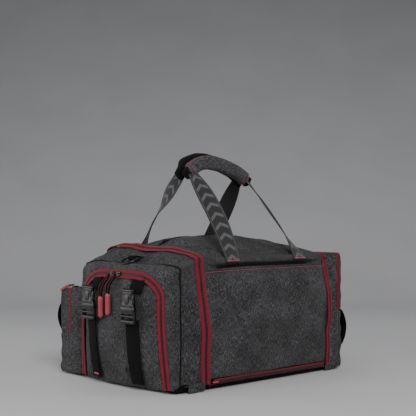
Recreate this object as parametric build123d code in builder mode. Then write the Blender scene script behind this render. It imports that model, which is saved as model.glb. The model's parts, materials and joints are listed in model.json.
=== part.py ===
from build123d import *
import os

# A soft duffel bag: a main section between two big zips, a bulging end compartment with a
# fold-down panel, an end pocket, a side pocket, and two webbing handles with a split padded grip.
# Millimetres. +X runs from the buckled end to the far end, the front faces -Y, +Z is up, and the
# origin is the middle of the main section's flat base.

os.makedirs("parts", exist_ok=True)

# Driving dimensions
ZIP_X = 188.5              # the two big zips' centre lines, from the middle of the main section
NEAR_ZIP_HALF = 11.5       # half width of the near zip's tapes
FAR_ZIP_HALF = 7.0         # half width of the far zip's tapes
WALL = 3.0                 # padded fabric wall
TAPE = 2.5                 # zip tape with its teeth
SEWN = 0.5                 # gap between neighbouring panels
BASE = 5.0                 # base panel
BOARD = 3.0                # stiff board on the base panel
FOOT_Y = 160.0             # half width at the base
SEAM_Z = 245.0             # seam along the top of the long walls
HINGE_Y = 126.5            # fold line of each top flap
HINGE_Z = 266.0
CROWN_Z = 303.0            # highest point of the top flaps
SLEEVE_GAP = 8.0           # pass-through between the front wall and its outer sleeve
WEB = 38.0                 # handle webbing width
WEB_T = 2.5                # handle webbing thickness
HANDLE_X = 101.0           # handle feet, from the middle
HANDLE_Y = 150.0
HANDLE_Z = 257.0
GRIP_GAP = 0.5             # each grip half's flat back, from the middle plane
GRIP_DEPTH = 25.0
STRAP_Y = 66.0             # the two buckled straps
STRAP_W = 34.0
BUCKLE_W = 44.0
BUCKLE_T = 10.0
POCKET_TOP = 188.0         # side pocket
POCKET_FOLD = 90.0
POCKET_OUT = 232.0
END_FOLD = 134.0           # end pocket
END_TOP = 261.0
END_OUT = 247.5

MAIN_LOW = -ZIP_X + NEAR_ZIP_HALF + SEWN      # the main section's panels, between the zips
MAIN_HIGH = ZIP_X - FAR_ZIP_HALF - SEWN
PINCH_X = -110.0                              # where the pinched near end reaches full width
NEAR_LOW = -ZIP_X - NEAR_ZIP_HALF - SEWN      # the end compartment starts here and runs to -X
FAR_HIGH = ZIP_X + FAR_ZIP_HALF + SEWN        # the end pocket starts here and runs to +X

# Base

BASE_LOW = -271.0
BASE_HIGH = 246.0
BASE_HALF = FOOT_Y - 2
BASE_CORNER = 28.0
BASE_EDGE = 2.0
BOARD_LENGTH = 350.0
BOARD_WIDTH = 280.0
BOARD_CORNER = 20.0
with BuildPart() as base_panel:
    with BuildSketch(Plane.XY):
        with Locations(((BASE_LOW + BASE_HIGH) / 2, 0)):
            RectangleRounded(BASE_HIGH - BASE_LOW, 2 * BASE_HALF, BASE_CORNER)
    extrude(amount=BASE)
    fillet(base_panel.faces().sort_by(Axis.Z)[0].edges(), BASE_EDGE)
base_panel.part.label = "base_panel"
export_step(base_panel.part, "parts/base_panel.step")

with BuildPart() as base_board:
    with BuildSketch(Plane.XY.offset(BASE)):
        RectangleRounded(BOARD_LENGTH, BOARD_WIDTH, BOARD_CORNER)
    extrude(amount=BOARD)
base_board.part.label = "base_board"
export_step(base_board.part, "parts/base_board.step")


# Long walls, their shoulders and the sleeve: lofted between a pinched, a full and a far section

def bowed_wall(side, foot, belly, top, wall):
    """Section of a wall that bows outwards: side is -1 in front and 1 behind."""
    middle = SEAM_Z / 2
    with BuildSketch() as section:
        with BuildLine():
            outside = ThreePointArc((side * foot, BASE), (side * belly, middle), (side * top, SEAM_Z))
            Line(outside @ 1, (side * (top - wall), SEAM_Z))
            inside = ThreePointArc((side * (top - wall), SEAM_Z), (side * (belly - wall), middle),
                                   (side * (foot - wall), BASE))
            Line(inside @ 1, (side * foot, BASE))
        make_face()
    return section.sketch


def shoulder_section(side, wall_top, hinge_z):
    """Section of the sloping strip from a wall's top seam up to the flap's fold line."""
    low = SEAM_Z + SEWN
    with BuildSketch() as section:
        with BuildLine():
            Polyline((side * wall_top, low), (side * (HINGE_Y + SEWN), hinge_z),
                     (side * (HINGE_Y + SEWN), hinge_z - WALL), (side * (wall_top - WALL), low), close=True)
        make_face()
    return section.sketch


# position, then half widths at the foot, belly and top seam
SECTIONS = [(MAIN_LOW, FOOT_Y, 163, 140), (PINCH_X, FOOT_Y, 167, 153), (MAIN_HIGH, FOOT_Y, 168, 156)]

with BuildPart() as front_sleeve:
    for x, foot, belly, top in SECTIONS:
        with BuildSketch(Plane.YZ.offset(x)):
            add(bowed_wall(-1, foot, belly, top, WALL))
    loft(ruled=True)
front_sleeve.part.label = "front_sleeve"
export_step(front_sleeve.part, "parts/front_sleeve.step")

INSET = WALL + SLEEVE_GAP
with BuildPart() as front_wall:
    for x, foot, belly, top in SECTIONS:
        with BuildSketch(Plane.YZ.offset(x)):
            add(bowed_wall(-1, foot - INSET, belly - INSET, top - INSET, WALL))
    loft(ruled=True)
front_wall.part.label = "front_wall"
export_step(front_wall.part, "parts/front_wall.step")

with BuildPart() as back_wall:
    for x, foot, belly, top in SECTIONS:
        with BuildSketch(Plane.YZ.offset(x)):
            add(bowed_wall(1, foot, belly, top, WALL))
    loft(ruled=True)
back_wall.part.label = "back_wall"
export_step(back_wall.part, "parts/back_wall.step")

with BuildPart() as front_shoulder:
    for x, foot, belly, top in SECTIONS:
        with BuildSketch(Plane.YZ.offset(x)):
            add(shoulder_section(-1, top - INSET, HINGE_Z))
    loft(ruled=True)
front_shoulder.part.label = "front_shoulder"
export_step(front_shoulder.part, "parts/front_shoulder.step")

with BuildPart() as back_shoulder:
    for x, foot, belly, top in SECTIONS:
        with BuildSketch(Plane.YZ.offset(x)):
            add(shoulder_section(1, top, HINGE_Z))
    loft(ruled=True)
back_shoulder.part.label = "back_shoulder"
export_step(back_shoulder.part, "parts/back_shoulder.step")


# The two big zips: arched bands over the whole section, with a padded divider inside each

ARCH_FOOT = BASE + 0.2
ARCH_BELLY_Z = 130.0
ARCH_TOP_Z = 238.0
ARCH_RISE = 10.0           # how far the shoulders sit below the middle of the arch
ARCH_ROUNDING = 14.0


def arch_outline(foot, belly, top, shoulder, height, drop):
    """Closed outline of the bag's section at a big zip; drop insets it all round."""
    low = ARCH_FOOT
    bend = ARCH_TOP_Z - drop / 2
    edge = height - ARCH_RISE - drop
    with BuildSketch() as section:
        with BuildLine():
            FilletPolyline((-foot + drop, low), (-belly + drop, ARCH_BELLY_Z), (-top + drop, bend),
                           (-shoulder + drop, edge), (0, height - drop), (shoulder - drop, edge),
                           (top - drop, bend), (belly - drop, ARCH_BELLY_Z), (foot - drop, low),
                           radius=ARCH_ROUNDING)
            Line((foot - drop, low), (-foot + drop, low))
        make_face()
    return section.sketch


# half widths at the foot, belly, top and shoulder, then the height of the middle
NEAR_ARCH = (162, 162, 140, 126, 276)
FAR_ARCH = (160, 167, 157, 140, 272)

with BuildPart() as near_main_zip:
    with BuildSketch(Plane.YZ.offset(-ZIP_X - NEAR_ZIP_HALF)):
        add(arch_outline(*NEAR_ARCH, 0))
    extrude(amount=2 * NEAR_ZIP_HALF)
    with BuildSketch(Plane.YZ.offset(-ZIP_X - NEAR_ZIP_HALF)):
        add(arch_outline(*NEAR_ARCH, TAPE))
    extrude(amount=2 * NEAR_ZIP_HALF, mode=Mode.SUBTRACT)
near_main_zip.part.label = "near_main_zip"
export_step(near_main_zip.part, "parts/near_main_zip.step")

with BuildPart() as far_main_zip:
    with BuildSketch(Plane.YZ.offset(ZIP_X - FAR_ZIP_HALF)):
        add(arch_outline(*FAR_ARCH, 0))
    extrude(amount=2 * FAR_ZIP_HALF)
    with BuildSketch(Plane.YZ.offset(ZIP_X - FAR_ZIP_HALF)):
        add(arch_outline(*FAR_ARCH, TAPE))
    extrude(amount=2 * FAR_ZIP_HALF, mode=Mode.SUBTRACT)
far_main_zip.part.label = "far_main_zip"
export_step(far_main_zip.part, "parts/far_main_zip.step")

INNER_DROP = TAPE + SEWN
with BuildPart() as near_divider:
    with BuildSketch(Plane.YZ.offset(-ZIP_X - WALL / 2)):
        add(arch_outline(*NEAR_ARCH, INNER_DROP))
    extrude(amount=WALL)
near_divider.part.label = "near_divider"
export_step(near_divider.part, "parts/near_divider.step")

with BuildPart() as far_divider:
    with BuildSketch(Plane.YZ.offset(ZIP_X - WALL / 2)):
        add(arch_outline(*FAR_ARCH, INNER_DROP))
    extrude(amount=WALL)
far_divider.part.label = "far_divider"
export_step(far_divider.part, "parts/far_divider.step")


# Top flaps: two crowned halves that part at a lengthwise zip just behind the middle

FLAP_LOW = MAIN_LOW + 1
FLAP_HIGH = MAIN_HIGH - 1
TOP_ZIP_Y = 8.0
TOP_ZIP_W = 8.0
TOP_ZIP_FIT = 0.1
CROWN_NEAR_Z = 276.0       # height of the crown's ends
CROWN_FAR_Z = 274.0
CROWN_FOOT = 240.0         # a level below every part of the flaps
CROWN_ROOM = 80.0


def crown_block(drop):
    """A block under the top's crowned surface, lowered by drop."""
    with BuildPart() as block:
        with BuildSketch(Plane.YZ.offset(FLAP_LOW)):
            with BuildLine():
                rise = ThreePointArc((-HINGE_Y, HINGE_Z - drop), (0, CROWN_Z - drop),
                                     (HINGE_Y, HINGE_Z - drop))
                Polyline(rise @ 1, (HINGE_Y, CROWN_FOOT), (-HINGE_Y, CROWN_FOOT), rise @ 0)
            make_face()
        extrude(amount=FLAP_HIGH - FLAP_LOW)
        with BuildSketch(Plane.XZ.offset(-HINGE_Y)):
            with BuildLine():
                run = ThreePointArc((FLAP_LOW, CROWN_NEAR_Z - drop), (0, CROWN_Z - drop),
                                    (FLAP_HIGH, CROWN_FAR_Z - drop))
                Polyline(run @ 1, (FLAP_HIGH, CROWN_FOOT), (FLAP_LOW, CROWN_FOOT), run @ 0)
            make_face()
        extrude(amount=2 * HINGE_Y, mode=Mode.INTERSECT)
    return block.part


FLAP_SPANS = {
    "top_flap_front": (-HINGE_Y, TOP_ZIP_Y),
    "top_zip": (TOP_ZIP_Y + TOP_ZIP_FIT, TOP_ZIP_Y + TOP_ZIP_W),
    "top_flap_back": (TOP_ZIP_Y + TOP_ZIP_W + SEWN, HINGE_Y),
}
for flap_name, (flap_from, flap_to) in FLAP_SPANS.items():
    with BuildPart() as flap:
        add(crown_block(0))
        add(crown_block(WALL), mode=Mode.SUBTRACT)
        with BuildSketch(Plane.XY.offset(CROWN_FOOT)):
            with Locations(((FLAP_LOW + FLAP_HIGH) / 2, (flap_from + flap_to) / 2)):
                Rectangle(FLAP_HIGH - FLAP_LOW, flap_to - flap_from)
        extrude(amount=CROWN_ROOM, mode=Mode.INTERSECT)
    flap.part.label = flap_name
    export_step(flap.part, f"parts/{flap_name}.step")


# Near end compartment: two side walls, a sloping top and a fold-down panel inside a U zip

SIDE_TOP = 242.0
# each level's corners, from the near zip out to the end: X, then half width
SIDE_LEVELS = (
    (BASE, ((NEAR_LOW, 161), (-243, 157), (-267, 144))),
    (120, ((NEAR_LOW, 161), (-243, 155), (-268, 136))),
    (SIDE_TOP, ((NEAR_LOW, 139), (-238, 144), (-264, 129))),
)
for side, side_name in ((-1, "near_side_front"), (1, "near_side_back")):
    with BuildPart() as near_side:
        for z, run in SIDE_LEVELS:
            with BuildSketch(Plane.XY.offset(z)):
                with BuildLine():
                    outer = [(x, side * y) for x, y in run]
                    inner = [(x + WALL / 2, side * (y - WALL)) for x, y in reversed(run)]
                    inner[-1] = (NEAR_LOW, inner[-1][1])
                    Polyline(*outer, *inner, close=True)
                make_face()
        loft(ruled=True)
    near_side.part.label = side_name
    export_step(near_side.part, f"parts/{side_name}.step")

NEAR_TOP_HALF = 124.0
NEAR_TOP_LINE = ((NEAR_LOW, 273), (-244, 250), (-281, 238))      # X and Z of the sloping top
with BuildPart() as near_top:
    with BuildSketch(Plane.XZ.offset(-NEAR_TOP_HALF)):
        with BuildLine():
            lining = [(x, z - WALL) for x, z in reversed(NEAR_TOP_LINE)]
            Polyline(*NEAR_TOP_LINE, *lining, close=True)
        make_face()
    extrude(amount=2 * NEAR_TOP_HALF)
near_top.part.label = "near_top"
export_step(near_top.part, "parts/near_top.step")

PANEL_TOP = 226.0
PANEL_FOOT = BASE + 1
PANEL_HALF = 126.0
U_ZIP_W = 8.0
PANEL_T = 4.0
END_HALF = 140.0           # half width of the bulging end
END_EDGE_X = -268.0        # its surface at the sides, in the middle, at the foot and near the top
END_PEAK_X = -297.0
END_FOOT_X = -277.0
END_HEAD_X = -288.0
END_PEAK_Z = 120.0
END_HEAD_Z = 240.0
END_BACK_X = -230.0
U_LEAN = 6.0               # how far the U's legs spread at the foot
U_DRAW = 10.0              # and draw in at the top
U_CORNER = 42.0


def panel_block(shift):
    """A block behind the bulging end surface, moved inwards by shift."""
    with BuildPart() as block:
        with BuildSketch(Plane.XY):
            with BuildLine():
                plan = ThreePointArc((END_EDGE_X + shift, -END_HALF), (END_PEAK_X + shift, 0),
                                     (END_EDGE_X + shift, END_HALF))
                Polyline(plan @ 1, (END_BACK_X, END_HALF), (END_BACK_X, -END_HALF), plan @ 0)
            make_face()
        extrude(amount=END_HEAD_Z + WALL)
        with BuildSketch(Plane.XZ.offset(-END_HALF)):
            with BuildLine():
                rise = ThreePointArc((END_FOOT_X + shift, BASE), (END_PEAK_X + shift, END_PEAK_Z),
                                     (END_HEAD_X + shift, END_HEAD_Z))
                Polyline(rise @ 1, (END_BACK_X, END_HEAD_Z), (END_BACK_X, BASE), rise @ 0)
            make_face()
        extrude(amount=2 * END_HALF, mode=Mode.INTERSECT)
    return block.part


def u_outline(half, top, foot):
    """Inverted U in the YZ plane: legs that lean in a little, and rounded top corners."""
    with BuildSketch() as outline:
        with BuildLine():
            FilletPolyline((-half - U_LEAN, foot), (-half + U_DRAW, top), (half - U_DRAW, top),
                           (half + U_LEAN, foot), radius=U_CORNER)
            Line((half + U_LEAN, foot), (-half - U_LEAN, foot))
        make_face()
    return outline.sketch


CUT_X = -310.0             # a plane clear of the bulging end, and the depth of cuts from it
CUT_DEPTH = 90.0
with BuildPart() as near_panel:
    add(panel_block(0))
    add(panel_block(PANEL_T), mode=Mode.SUBTRACT)
    with BuildSketch(Plane.YZ.offset(CUT_X)):
        add(u_outline(PANEL_HALF - SEWN, PANEL_TOP - SEWN, PANEL_FOOT))
    extrude(amount=CUT_DEPTH, mode=Mode.INTERSECT)
near_panel.part.label = "near_panel"
export_step(near_panel.part, "parts/near_panel.step")

with BuildPart() as near_u_zip:
    add(panel_block(0))
    add(panel_block(PANEL_T), mode=Mode.SUBTRACT)
    with BuildSketch(Plane.YZ.offset(CUT_X)):
        add(u_outline(PANEL_HALF + U_ZIP_W, PANEL_TOP + U_ZIP_W, PANEL_FOOT))
        add(u_outline(PANEL_HALF, PANEL_TOP, PANEL_FOOT), mode=Mode.SUBTRACT)
    extrude(amount=CUT_DEPTH, mode=Mode.INTERSECT)
near_u_zip.part.label = "near_u_zip"
export_step(near_u_zip.part, "parts/near_u_zip.step")

# Straps and buckles on the fold-down panel

STRAP_FOOT = (-286.0, 16.0)
STRAP_MIDDLE = (-297.5, 95.0)
STRAP_HEAD = (-299.0, 165.0)
STRAP_T = 2.0
with BuildPart() as compression_straps:
    for strap_y in (-STRAP_Y, STRAP_Y):
        with BuildSketch(Plane.XZ.offset(-strap_y - STRAP_W / 2)):
            with BuildLine():
                face = ThreePointArc(STRAP_FOOT, STRAP_MIDDLE, STRAP_HEAD)
                Line(face @ 1, (STRAP_HEAD[0] + STRAP_T, STRAP_HEAD[1]))
                back = ThreePointArc((STRAP_HEAD[0] + STRAP_T, STRAP_HEAD[1]),
                                     (STRAP_MIDDLE[0] + STRAP_T, STRAP_MIDDLE[1]),
                                     (STRAP_FOOT[0] + STRAP_T, STRAP_FOOT[1]))
                Line(back @ 1, face @ 0)
            make_face()
        extrude(amount=STRAP_W)
compression_straps.part.label = "compression_straps"
export_step(compression_straps.part, "parts/compression_straps.step")

BUCKLE_BACK = -302.0
BUCKLE_X = BUCKLE_BACK - BUCKLE_T / 2
SOCKET_LOW = 169.0
SOCKET_HIGH = 203.0
PLUG_LOW = 134.0
THROAT_W = 36.0
THROAT_T = 6.0
PLUG_PLAY = 0.3
ARM_FOOT = 172.0
ARM_TIP = 190.0
ARM_IN = 10.0
ARM_OUT = 15.0
ARM_PIN = 1.5
ARM_T = 4.0
ARM_ROOT = ARM_OUT - 2     # the pin's distance from the buckle's middle
THROAT_DEPTH = 26.0
WINDOW_Z = 182.0           # side windows that the arms show through
WINDOW_H = 14.0
SLOT_Z = 199.0             # the socket's webbing slot
SLOT_H = 3.0
LADDER_Z = (141.0, 150.0)  # the plug's two webbing slots
LADDER_H = 4.0
TONGUE_W = 8.0
TAB_LOW = 187.0            # the sewn tabs that hold the sockets
TAB_HIGH = 222.0
TAB_X = -299.5
TAB_T = 1.5

with BuildPart() as buckle_tabs:
    for strap_y in (-STRAP_Y, STRAP_Y):
        with BuildSketch(Plane.YZ.offset(TAB_X)):
            with Locations((strap_y, (TAB_LOW + TAB_HIGH) / 2)):
                Rectangle(STRAP_W, TAB_HIGH - TAB_LOW)
        extrude(amount=TAB_T)
buckle_tabs.part.label = "buckle_tabs"
export_step(buckle_tabs.part, "parts/buckle_tabs.step")

for strap_side, strap_y in (("right", -STRAP_Y), ("left", STRAP_Y)):
    socket_name = f"buckle_socket_{strap_side}"
    with BuildPart() as socket:
        with BuildSketch(Plane.YZ.offset(BUCKLE_BACK - BUCKLE_T)):
            with Locations((strap_y, (SOCKET_LOW + SOCKET_HIGH) / 2)):
                RectangleRounded(BUCKLE_W, SOCKET_HIGH - SOCKET_LOW, 4)
        extrude(amount=BUCKLE_T)
        with BuildSketch(Plane.XY.offset(SOCKET_LOW)):
            with Locations((BUCKLE_X, strap_y)):
                Rectangle(THROAT_T, THROAT_W)
        extrude(amount=THROAT_DEPTH, mode=Mode.SUBTRACT)
        with BuildSketch(Plane.XZ.offset(-strap_y - BUCKLE_W)):
            with Locations((BUCKLE_X, WINDOW_Z)):
                Rectangle(THROAT_T, WINDOW_H)
        extrude(amount=2 * BUCKLE_W, mode=Mode.SUBTRACT)
        with BuildSketch(Plane.YZ.offset(BUCKLE_BACK - BUCKLE_T)):
            with Locations((strap_y, SLOT_Z)):
                Rectangle(STRAP_W, SLOT_H)
        extrude(amount=BUCKLE_T, mode=Mode.SUBTRACT)
    socket.part.label = socket_name
    export_step(socket.part, f"parts/{socket_name}.step")

    plug_name = f"buckle_plug_{strap_side}"
    with BuildPart() as plug:
        with BuildSketch(Plane.YZ.offset(BUCKLE_BACK - BUCKLE_T + 1)):
            with Locations((strap_y, (PLUG_LOW + SOCKET_LOW - PLUG_PLAY) / 2)):
                RectangleRounded(BUCKLE_W, SOCKET_LOW - PLUG_PLAY - PLUG_LOW, 3)
            with Locations(*[(strap_y, slot_z) for slot_z in LADDER_Z]):
                Rectangle(STRAP_W, LADDER_H, mode=Mode.SUBTRACT)
        extrude(amount=BUCKLE_T - 1)
        with BuildSketch(Plane.XY.offset(SOCKET_LOW - PLUG_PLAY)):
            with Locations((BUCKLE_X, strap_y)):
                Rectangle(ARM_T, TONGUE_W)
        extrude(amount=ARM_TIP - SOCKET_LOW)
        with BuildSketch(Plane.YZ.offset(BUCKLE_X - ARM_T / 2)):
            for arm_y in (strap_y - ARM_ROOT, strap_y + ARM_ROOT):
                with Locations((arm_y, (SOCKET_LOW + ARM_FOOT) / 2)):
                    Rectangle(ARM_T, ARM_FOOT - SOCKET_LOW + 2 * PLUG_PLAY)
                with Locations((arm_y, ARM_FOOT + 1)):
                    Circle(ARM_PIN)
        extrude(amount=ARM_T)
    plug.part.label = plug_name
    export_step(plug.part, f"parts/{plug_name}.step")

    for arm_side, sign in (("low", -1), ("high", 1)):
        arm_name = f"buckle_arm_{strap_side}_{arm_side}"
        pin_y = strap_y + sign * ARM_ROOT
        with BuildPart() as arm:
            with BuildSketch(Plane.YZ.offset(BUCKLE_X - ARM_T / 2)):
                with BuildLine():
                    Polyline((pin_y - sign * 2.5, ARM_FOOT + 3.5), (pin_y + sign * 2.5, ARM_FOOT + 3.5),
                             (strap_y + sign * (ARM_OUT + 1.8), 184), (strap_y + sign * (ARM_OUT + 1), 188),
                             (pin_y, ARM_TIP + 3),
                             (strap_y + sign * ARM_IN, ARM_TIP), close=True)
                make_face()
            extrude(amount=ARM_T)
        arm.part.label = arm_name
        export_step(arm.part, f"parts/{arm_name}.step")

# Sliders and pulls of the U zip

SLIDER_X = -298.5
SLIDER_Z = 229.0
SLIDER_T = 4.0
SLIDER_W = 12.0
SLIDER_H = 10.0
SLIDER_CORNER = 1.5
TAB_MIDDLE_Z = 168.0
TAB_LONG = 50.0
TAB_WIDE = 10.0
CORD_LOW_Z = 192.0
SLIDERS = {"left": (22.0, 32.0), "right": (0.0, 6.0)}      # slider's and pull tab's Y
for slider_side, (slider_y, tab_y) in SLIDERS.items():
    slider_name = f"near_slider_{slider_side}"
    with BuildPart() as slider:
        with BuildSketch(Plane.XY.offset(SLIDER_Z - SLIDER_H / 2)):
            with Locations((SLIDER_X + SLIDER_T / 2, slider_y)):
                RectangleRounded(SLIDER_T, SLIDER_W, SLIDER_CORNER)
        extrude(amount=SLIDER_H)
    slider.part.label = slider_name
    export_step(slider.part, f"parts/{slider_name}.step")

    pull_name = f"near_pull_{slider_side}"
    with BuildPart() as pull:
        with BuildSketch(Plane.YZ.offset(SLIDER_X - 5)):
            with BuildLine():
                Polyline((slider_y - 1.5, SLIDER_Z - 1), (slider_y + 1.5, SLIDER_Z - 1),
                         (tab_y + 2, CORD_LOW_Z), (tab_y - 2, CORD_LOW_Z), close=True)
            make_face()
            with Locations((tab_y, TAB_MIDDLE_Z)):
                SlotOverall(TAB_LONG, TAB_WIDE, rotation=90)
        extrude(amount=SLIDER_T)
    pull.part.label = pull_name
    export_step(pull.part, f"parts/{pull_name}.step")

# End pocket: gussets, top, lower panel and the flap that folds down

GUSSET_HALF = 158.0
GUSSET_OUT = 243.0
TOP_DRAW = 14.0            # how far the top stops short of the gussets
for side, gusset_name in ((-1, "end_gusset_front"), (1, "end_gusset_back")):
    with BuildPart() as gusset:
        with BuildSketch(Plane.XY.offset(BASE)):
            with Locations(((FAR_HIGH + GUSSET_OUT) / 2, side * (GUSSET_HALF - WALL / 2))):
                Rectangle(GUSSET_OUT - FAR_HIGH, WALL)
        extrude(amount=END_TOP - WALL - SEWN - BASE)
    gusset.part.label = gusset_name
    export_step(gusset.part, f"parts/{gusset_name}.step")

with BuildPart() as end_top:
    with BuildSketch(Plane.XY.offset(END_TOP - WALL)):
        with Locations(((FAR_HIGH + GUSSET_OUT) / 2, 0)):
            Rectangle(GUSSET_OUT - FAR_HIGH, 2 * (GUSSET_HALF - TOP_DRAW))
    extrude(amount=WALL)
end_top.part.label = "end_top"
export_step(end_top.part, "parts/end_top.step")

END_PANELS = {"end_lower_panel": (BASE + SEWN, END_FOLD - SEWN), "end_flap": (END_FOLD, END_TOP - 3)}
for panel_name, (panel_low, panel_high) in END_PANELS.items():
    with BuildPart() as end_panel:
        with BuildSketch(Plane.YZ.offset(END_OUT - WALL - 1)):
            with Locations((0, (panel_low + panel_high) / 2)):
                RectangleRounded(2 * (GUSSET_HALF - 4), panel_high - panel_low, 8)
        extrude(amount=WALL + 1)
    end_panel.part.label = panel_name
    export_step(end_panel.part, f"parts/{panel_name}.step")

END_ZIP_LOW = 228.0
END_ZIP_HIGH = 238.0
ZIP_FIT = 0.3              # gap under a pocket's zip
ZIP_T = 2.0                # thickness of a pocket's zip
END_ZIP_TOP = END_TOP + ZIP_FIT
with BuildPart() as end_pocket_zip:
    with BuildSketch(Plane.YZ.offset(END_ZIP_LOW)):
        with Locations((0, (END_FOLD + END_ZIP_TOP + ZIP_T) / 2)):
            Rectangle(2 * (GUSSET_HALF + ZIP_FIT + ZIP_T), END_ZIP_TOP + ZIP_T - END_FOLD)
            Rectangle(2 * (GUSSET_HALF + ZIP_FIT), END_ZIP_TOP + ZIP_T - END_FOLD, mode=Mode.SUBTRACT)
        with Locations((0, END_ZIP_TOP + ZIP_T / 2)):
            Rectangle(2 * (GUSSET_HALF + ZIP_FIT + ZIP_T), ZIP_T)
    extrude(amount=END_ZIP_HIGH - END_ZIP_LOW)
end_pocket_zip.part.label = "end_pocket_zip"
export_step(end_pocket_zip.part, "parts/end_pocket_zip.step")

LOOP_T = 2.0
LOOP_W = 25.0


def loop_side(wall, low, high, reach):
    """Side view of a webbing loop that bows out from a wall between two heights."""
    foot = wall + 0.2
    middle = (low + high) / 2
    with BuildSketch() as side_view:
        with BuildLine():
            bow = ThreePointArc((foot, low), (wall + reach, middle), (foot, high))
            Line(bow @ 1, (foot, high - 2 * LOOP_T))
            under = ThreePointArc((foot, high - 2 * LOOP_T), (wall + reach - LOOP_T, middle),
                                  (foot, low + 2 * LOOP_T))
            Line(under @ 1, bow @ 0)
        make_face()
    return side_view.sketch


END_LOOP_Y = 127.0
with BuildPart() as end_grab_loop:
    with BuildSketch(Plane.XZ.offset(END_LOOP_Y)):
        add(loop_side(END_OUT, 52, 130, 18))
    extrude(amount=LOOP_W)
end_grab_loop.part.label = "end_grab_loop"
export_step(end_grab_loop.part, "parts/end_grab_loop.step")

# Side pocket on the back: floor, gussets, top, lower panel and the flap that folds down

POCKET_LOW_X = -262.0
POCKET_HIGH_X = 180.0
POCKET_IN = 169.0
POCKET_MIDDLE_X = (POCKET_LOW_X + POCKET_HIGH_X) / 2
POCKET_FLOOR = 1.5
POCKET_BEVEL = 18.0        # how far the gussets' top corner is cut back
POCKET_BEVEL_Z = 172.0
POCKET_TOP_OUT = 214.0
PANEL_CORNER = 8.0
with BuildPart() as side_pocket_floor:
    with BuildSketch(Plane.XY.offset(POCKET_FLOOR)):
        with Locations((POCKET_MIDDLE_X, (POCKET_IN + POCKET_OUT - WALL) / 2)):
            Rectangle(POCKET_HIGH_X - POCKET_LOW_X, POCKET_OUT - WALL - POCKET_IN)
    extrude(amount=WALL)
side_pocket_floor.part.label = "side_pocket_floor"
export_step(side_pocket_floor.part, "parts/side_pocket_floor.step")

for gusset_x, gusset_name in ((POCKET_LOW_X, "side_gusset_near"), (POCKET_HIGH_X - WALL, "side_gusset_far")):
    with BuildPart() as pocket_gusset:
        with BuildSketch(Plane.YZ.offset(gusset_x)):
            with BuildLine():
                outer = POCKET_OUT - WALL - SEWN
                upper = POCKET_TOP - WALL - SEWN
                Polyline((POCKET_IN, BASE), (outer, BASE), (outer, POCKET_BEVEL_Z),
                         (POCKET_OUT - POCKET_BEVEL, upper), (POCKET_IN, upper), close=True)
            make_face()
        extrude(amount=WALL)
    pocket_gusset.part.label = gusset_name
    export_step(pocket_gusset.part, f"parts/{gusset_name}.step")

with BuildPart() as side_pocket_top:
    with BuildSketch(Plane.XY.offset(POCKET_TOP - WALL)):
        with Locations((POCKET_MIDDLE_X, (POCKET_IN + POCKET_TOP_OUT) / 2)):
            Rectangle(POCKET_HIGH_X - POCKET_LOW_X, POCKET_TOP_OUT - POCKET_IN)
    extrude(amount=WALL)
side_pocket_top.part.label = "side_pocket_top"
export_step(side_pocket_top.part, "parts/side_pocket_top.step")

POCKET_PANELS = {"side_lower_panel": (2.0, POCKET_FOLD - SEWN), "side_flap": (POCKET_FOLD, POCKET_TOP - 6)}
for panel_name, (panel_low, panel_high) in POCKET_PANELS.items():
    with BuildPart() as pocket_panel:
        with BuildSketch(Plane.XZ.offset(-POCKET_OUT)):
            with Locations((POCKET_MIDDLE_X, (panel_low + panel_high) / 2)):
                RectangleRounded(POCKET_HIGH_X - POCKET_LOW_X, panel_high - panel_low, PANEL_CORNER)
        extrude(amount=WALL)
    pocket_panel.part.label = panel_name
    export_step(pocket_panel.part, f"parts/{panel_name}.step")

SIDE_ZIP_Y = 190.0
SIDE_ZIP_W = 10.0
with BuildPart() as side_pocket_zip:
    with BuildSketch(Plane.XZ.offset(-SIDE_ZIP_Y - SIDE_ZIP_W / 2)):
        for margin, mode in ((ZIP_FIT + ZIP_T, Mode.ADD), (ZIP_FIT, Mode.SUBTRACT)):
            zip_top = POCKET_TOP + margin
            with Locations((POCKET_MIDDLE_X, (POCKET_FOLD + zip_top) / 2)):
                Rectangle(POCKET_HIGH_X - POCKET_LOW_X + 2 * margin, zip_top - POCKET_FOLD, mode=mode)
    extrude(amount=SIDE_ZIP_W)
side_pocket_zip.part.label = "side_pocket_zip"
export_step(side_pocket_zip.part, "parts/side_pocket_zip.step")

SIDE_SLIDER_X = -252.0
SIDE_SLIDER_Z = POCKET_TOP + 2.6
SIDE_SLIDER_T = 3.4
SIDE_PULL_Y = 212.0
SIDE_PULL_LIFT = 4.3
with BuildPart() as side_slider:
    with BuildSketch(Plane.XY.offset(SIDE_SLIDER_Z)):
        with Locations((SIDE_SLIDER_X, SIDE_ZIP_Y)):
            RectangleRounded(SLIDER_W, SIDE_ZIP_W, SLIDER_CORNER)
    extrude(amount=SIDE_SLIDER_T)
side_slider.part.label = "side_slider"
export_step(side_slider.part, "parts/side_slider.step")

with BuildPart() as side_pull:
    with BuildSketch(Plane.XY.offset(SIDE_SLIDER_Z + SIDE_PULL_LIFT)):
        with Locations((SIDE_SLIDER_X, SIDE_PULL_Y)):
            SlotOverall(46, 9, rotation=90)
    extrude(amount=SLIDER_T)
side_pull.part.label = "side_pull"
export_step(side_pull.part, "parts/side_pull.step")

SIDE_LOOP_X = -256.0
with BuildPart() as side_grab_loop:
    with BuildSketch(Plane.YZ.offset(SIDE_LOOP_X)):
        add(loop_side(POCKET_OUT, 94, 156, 20))
    extrude(amount=LOOP_W)
side_grab_loop.part.label = "side_grab_loop"
export_step(side_grab_loop.part, "parts/side_grab_loop.step")

# Bottom zip of the front sleeve

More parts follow.
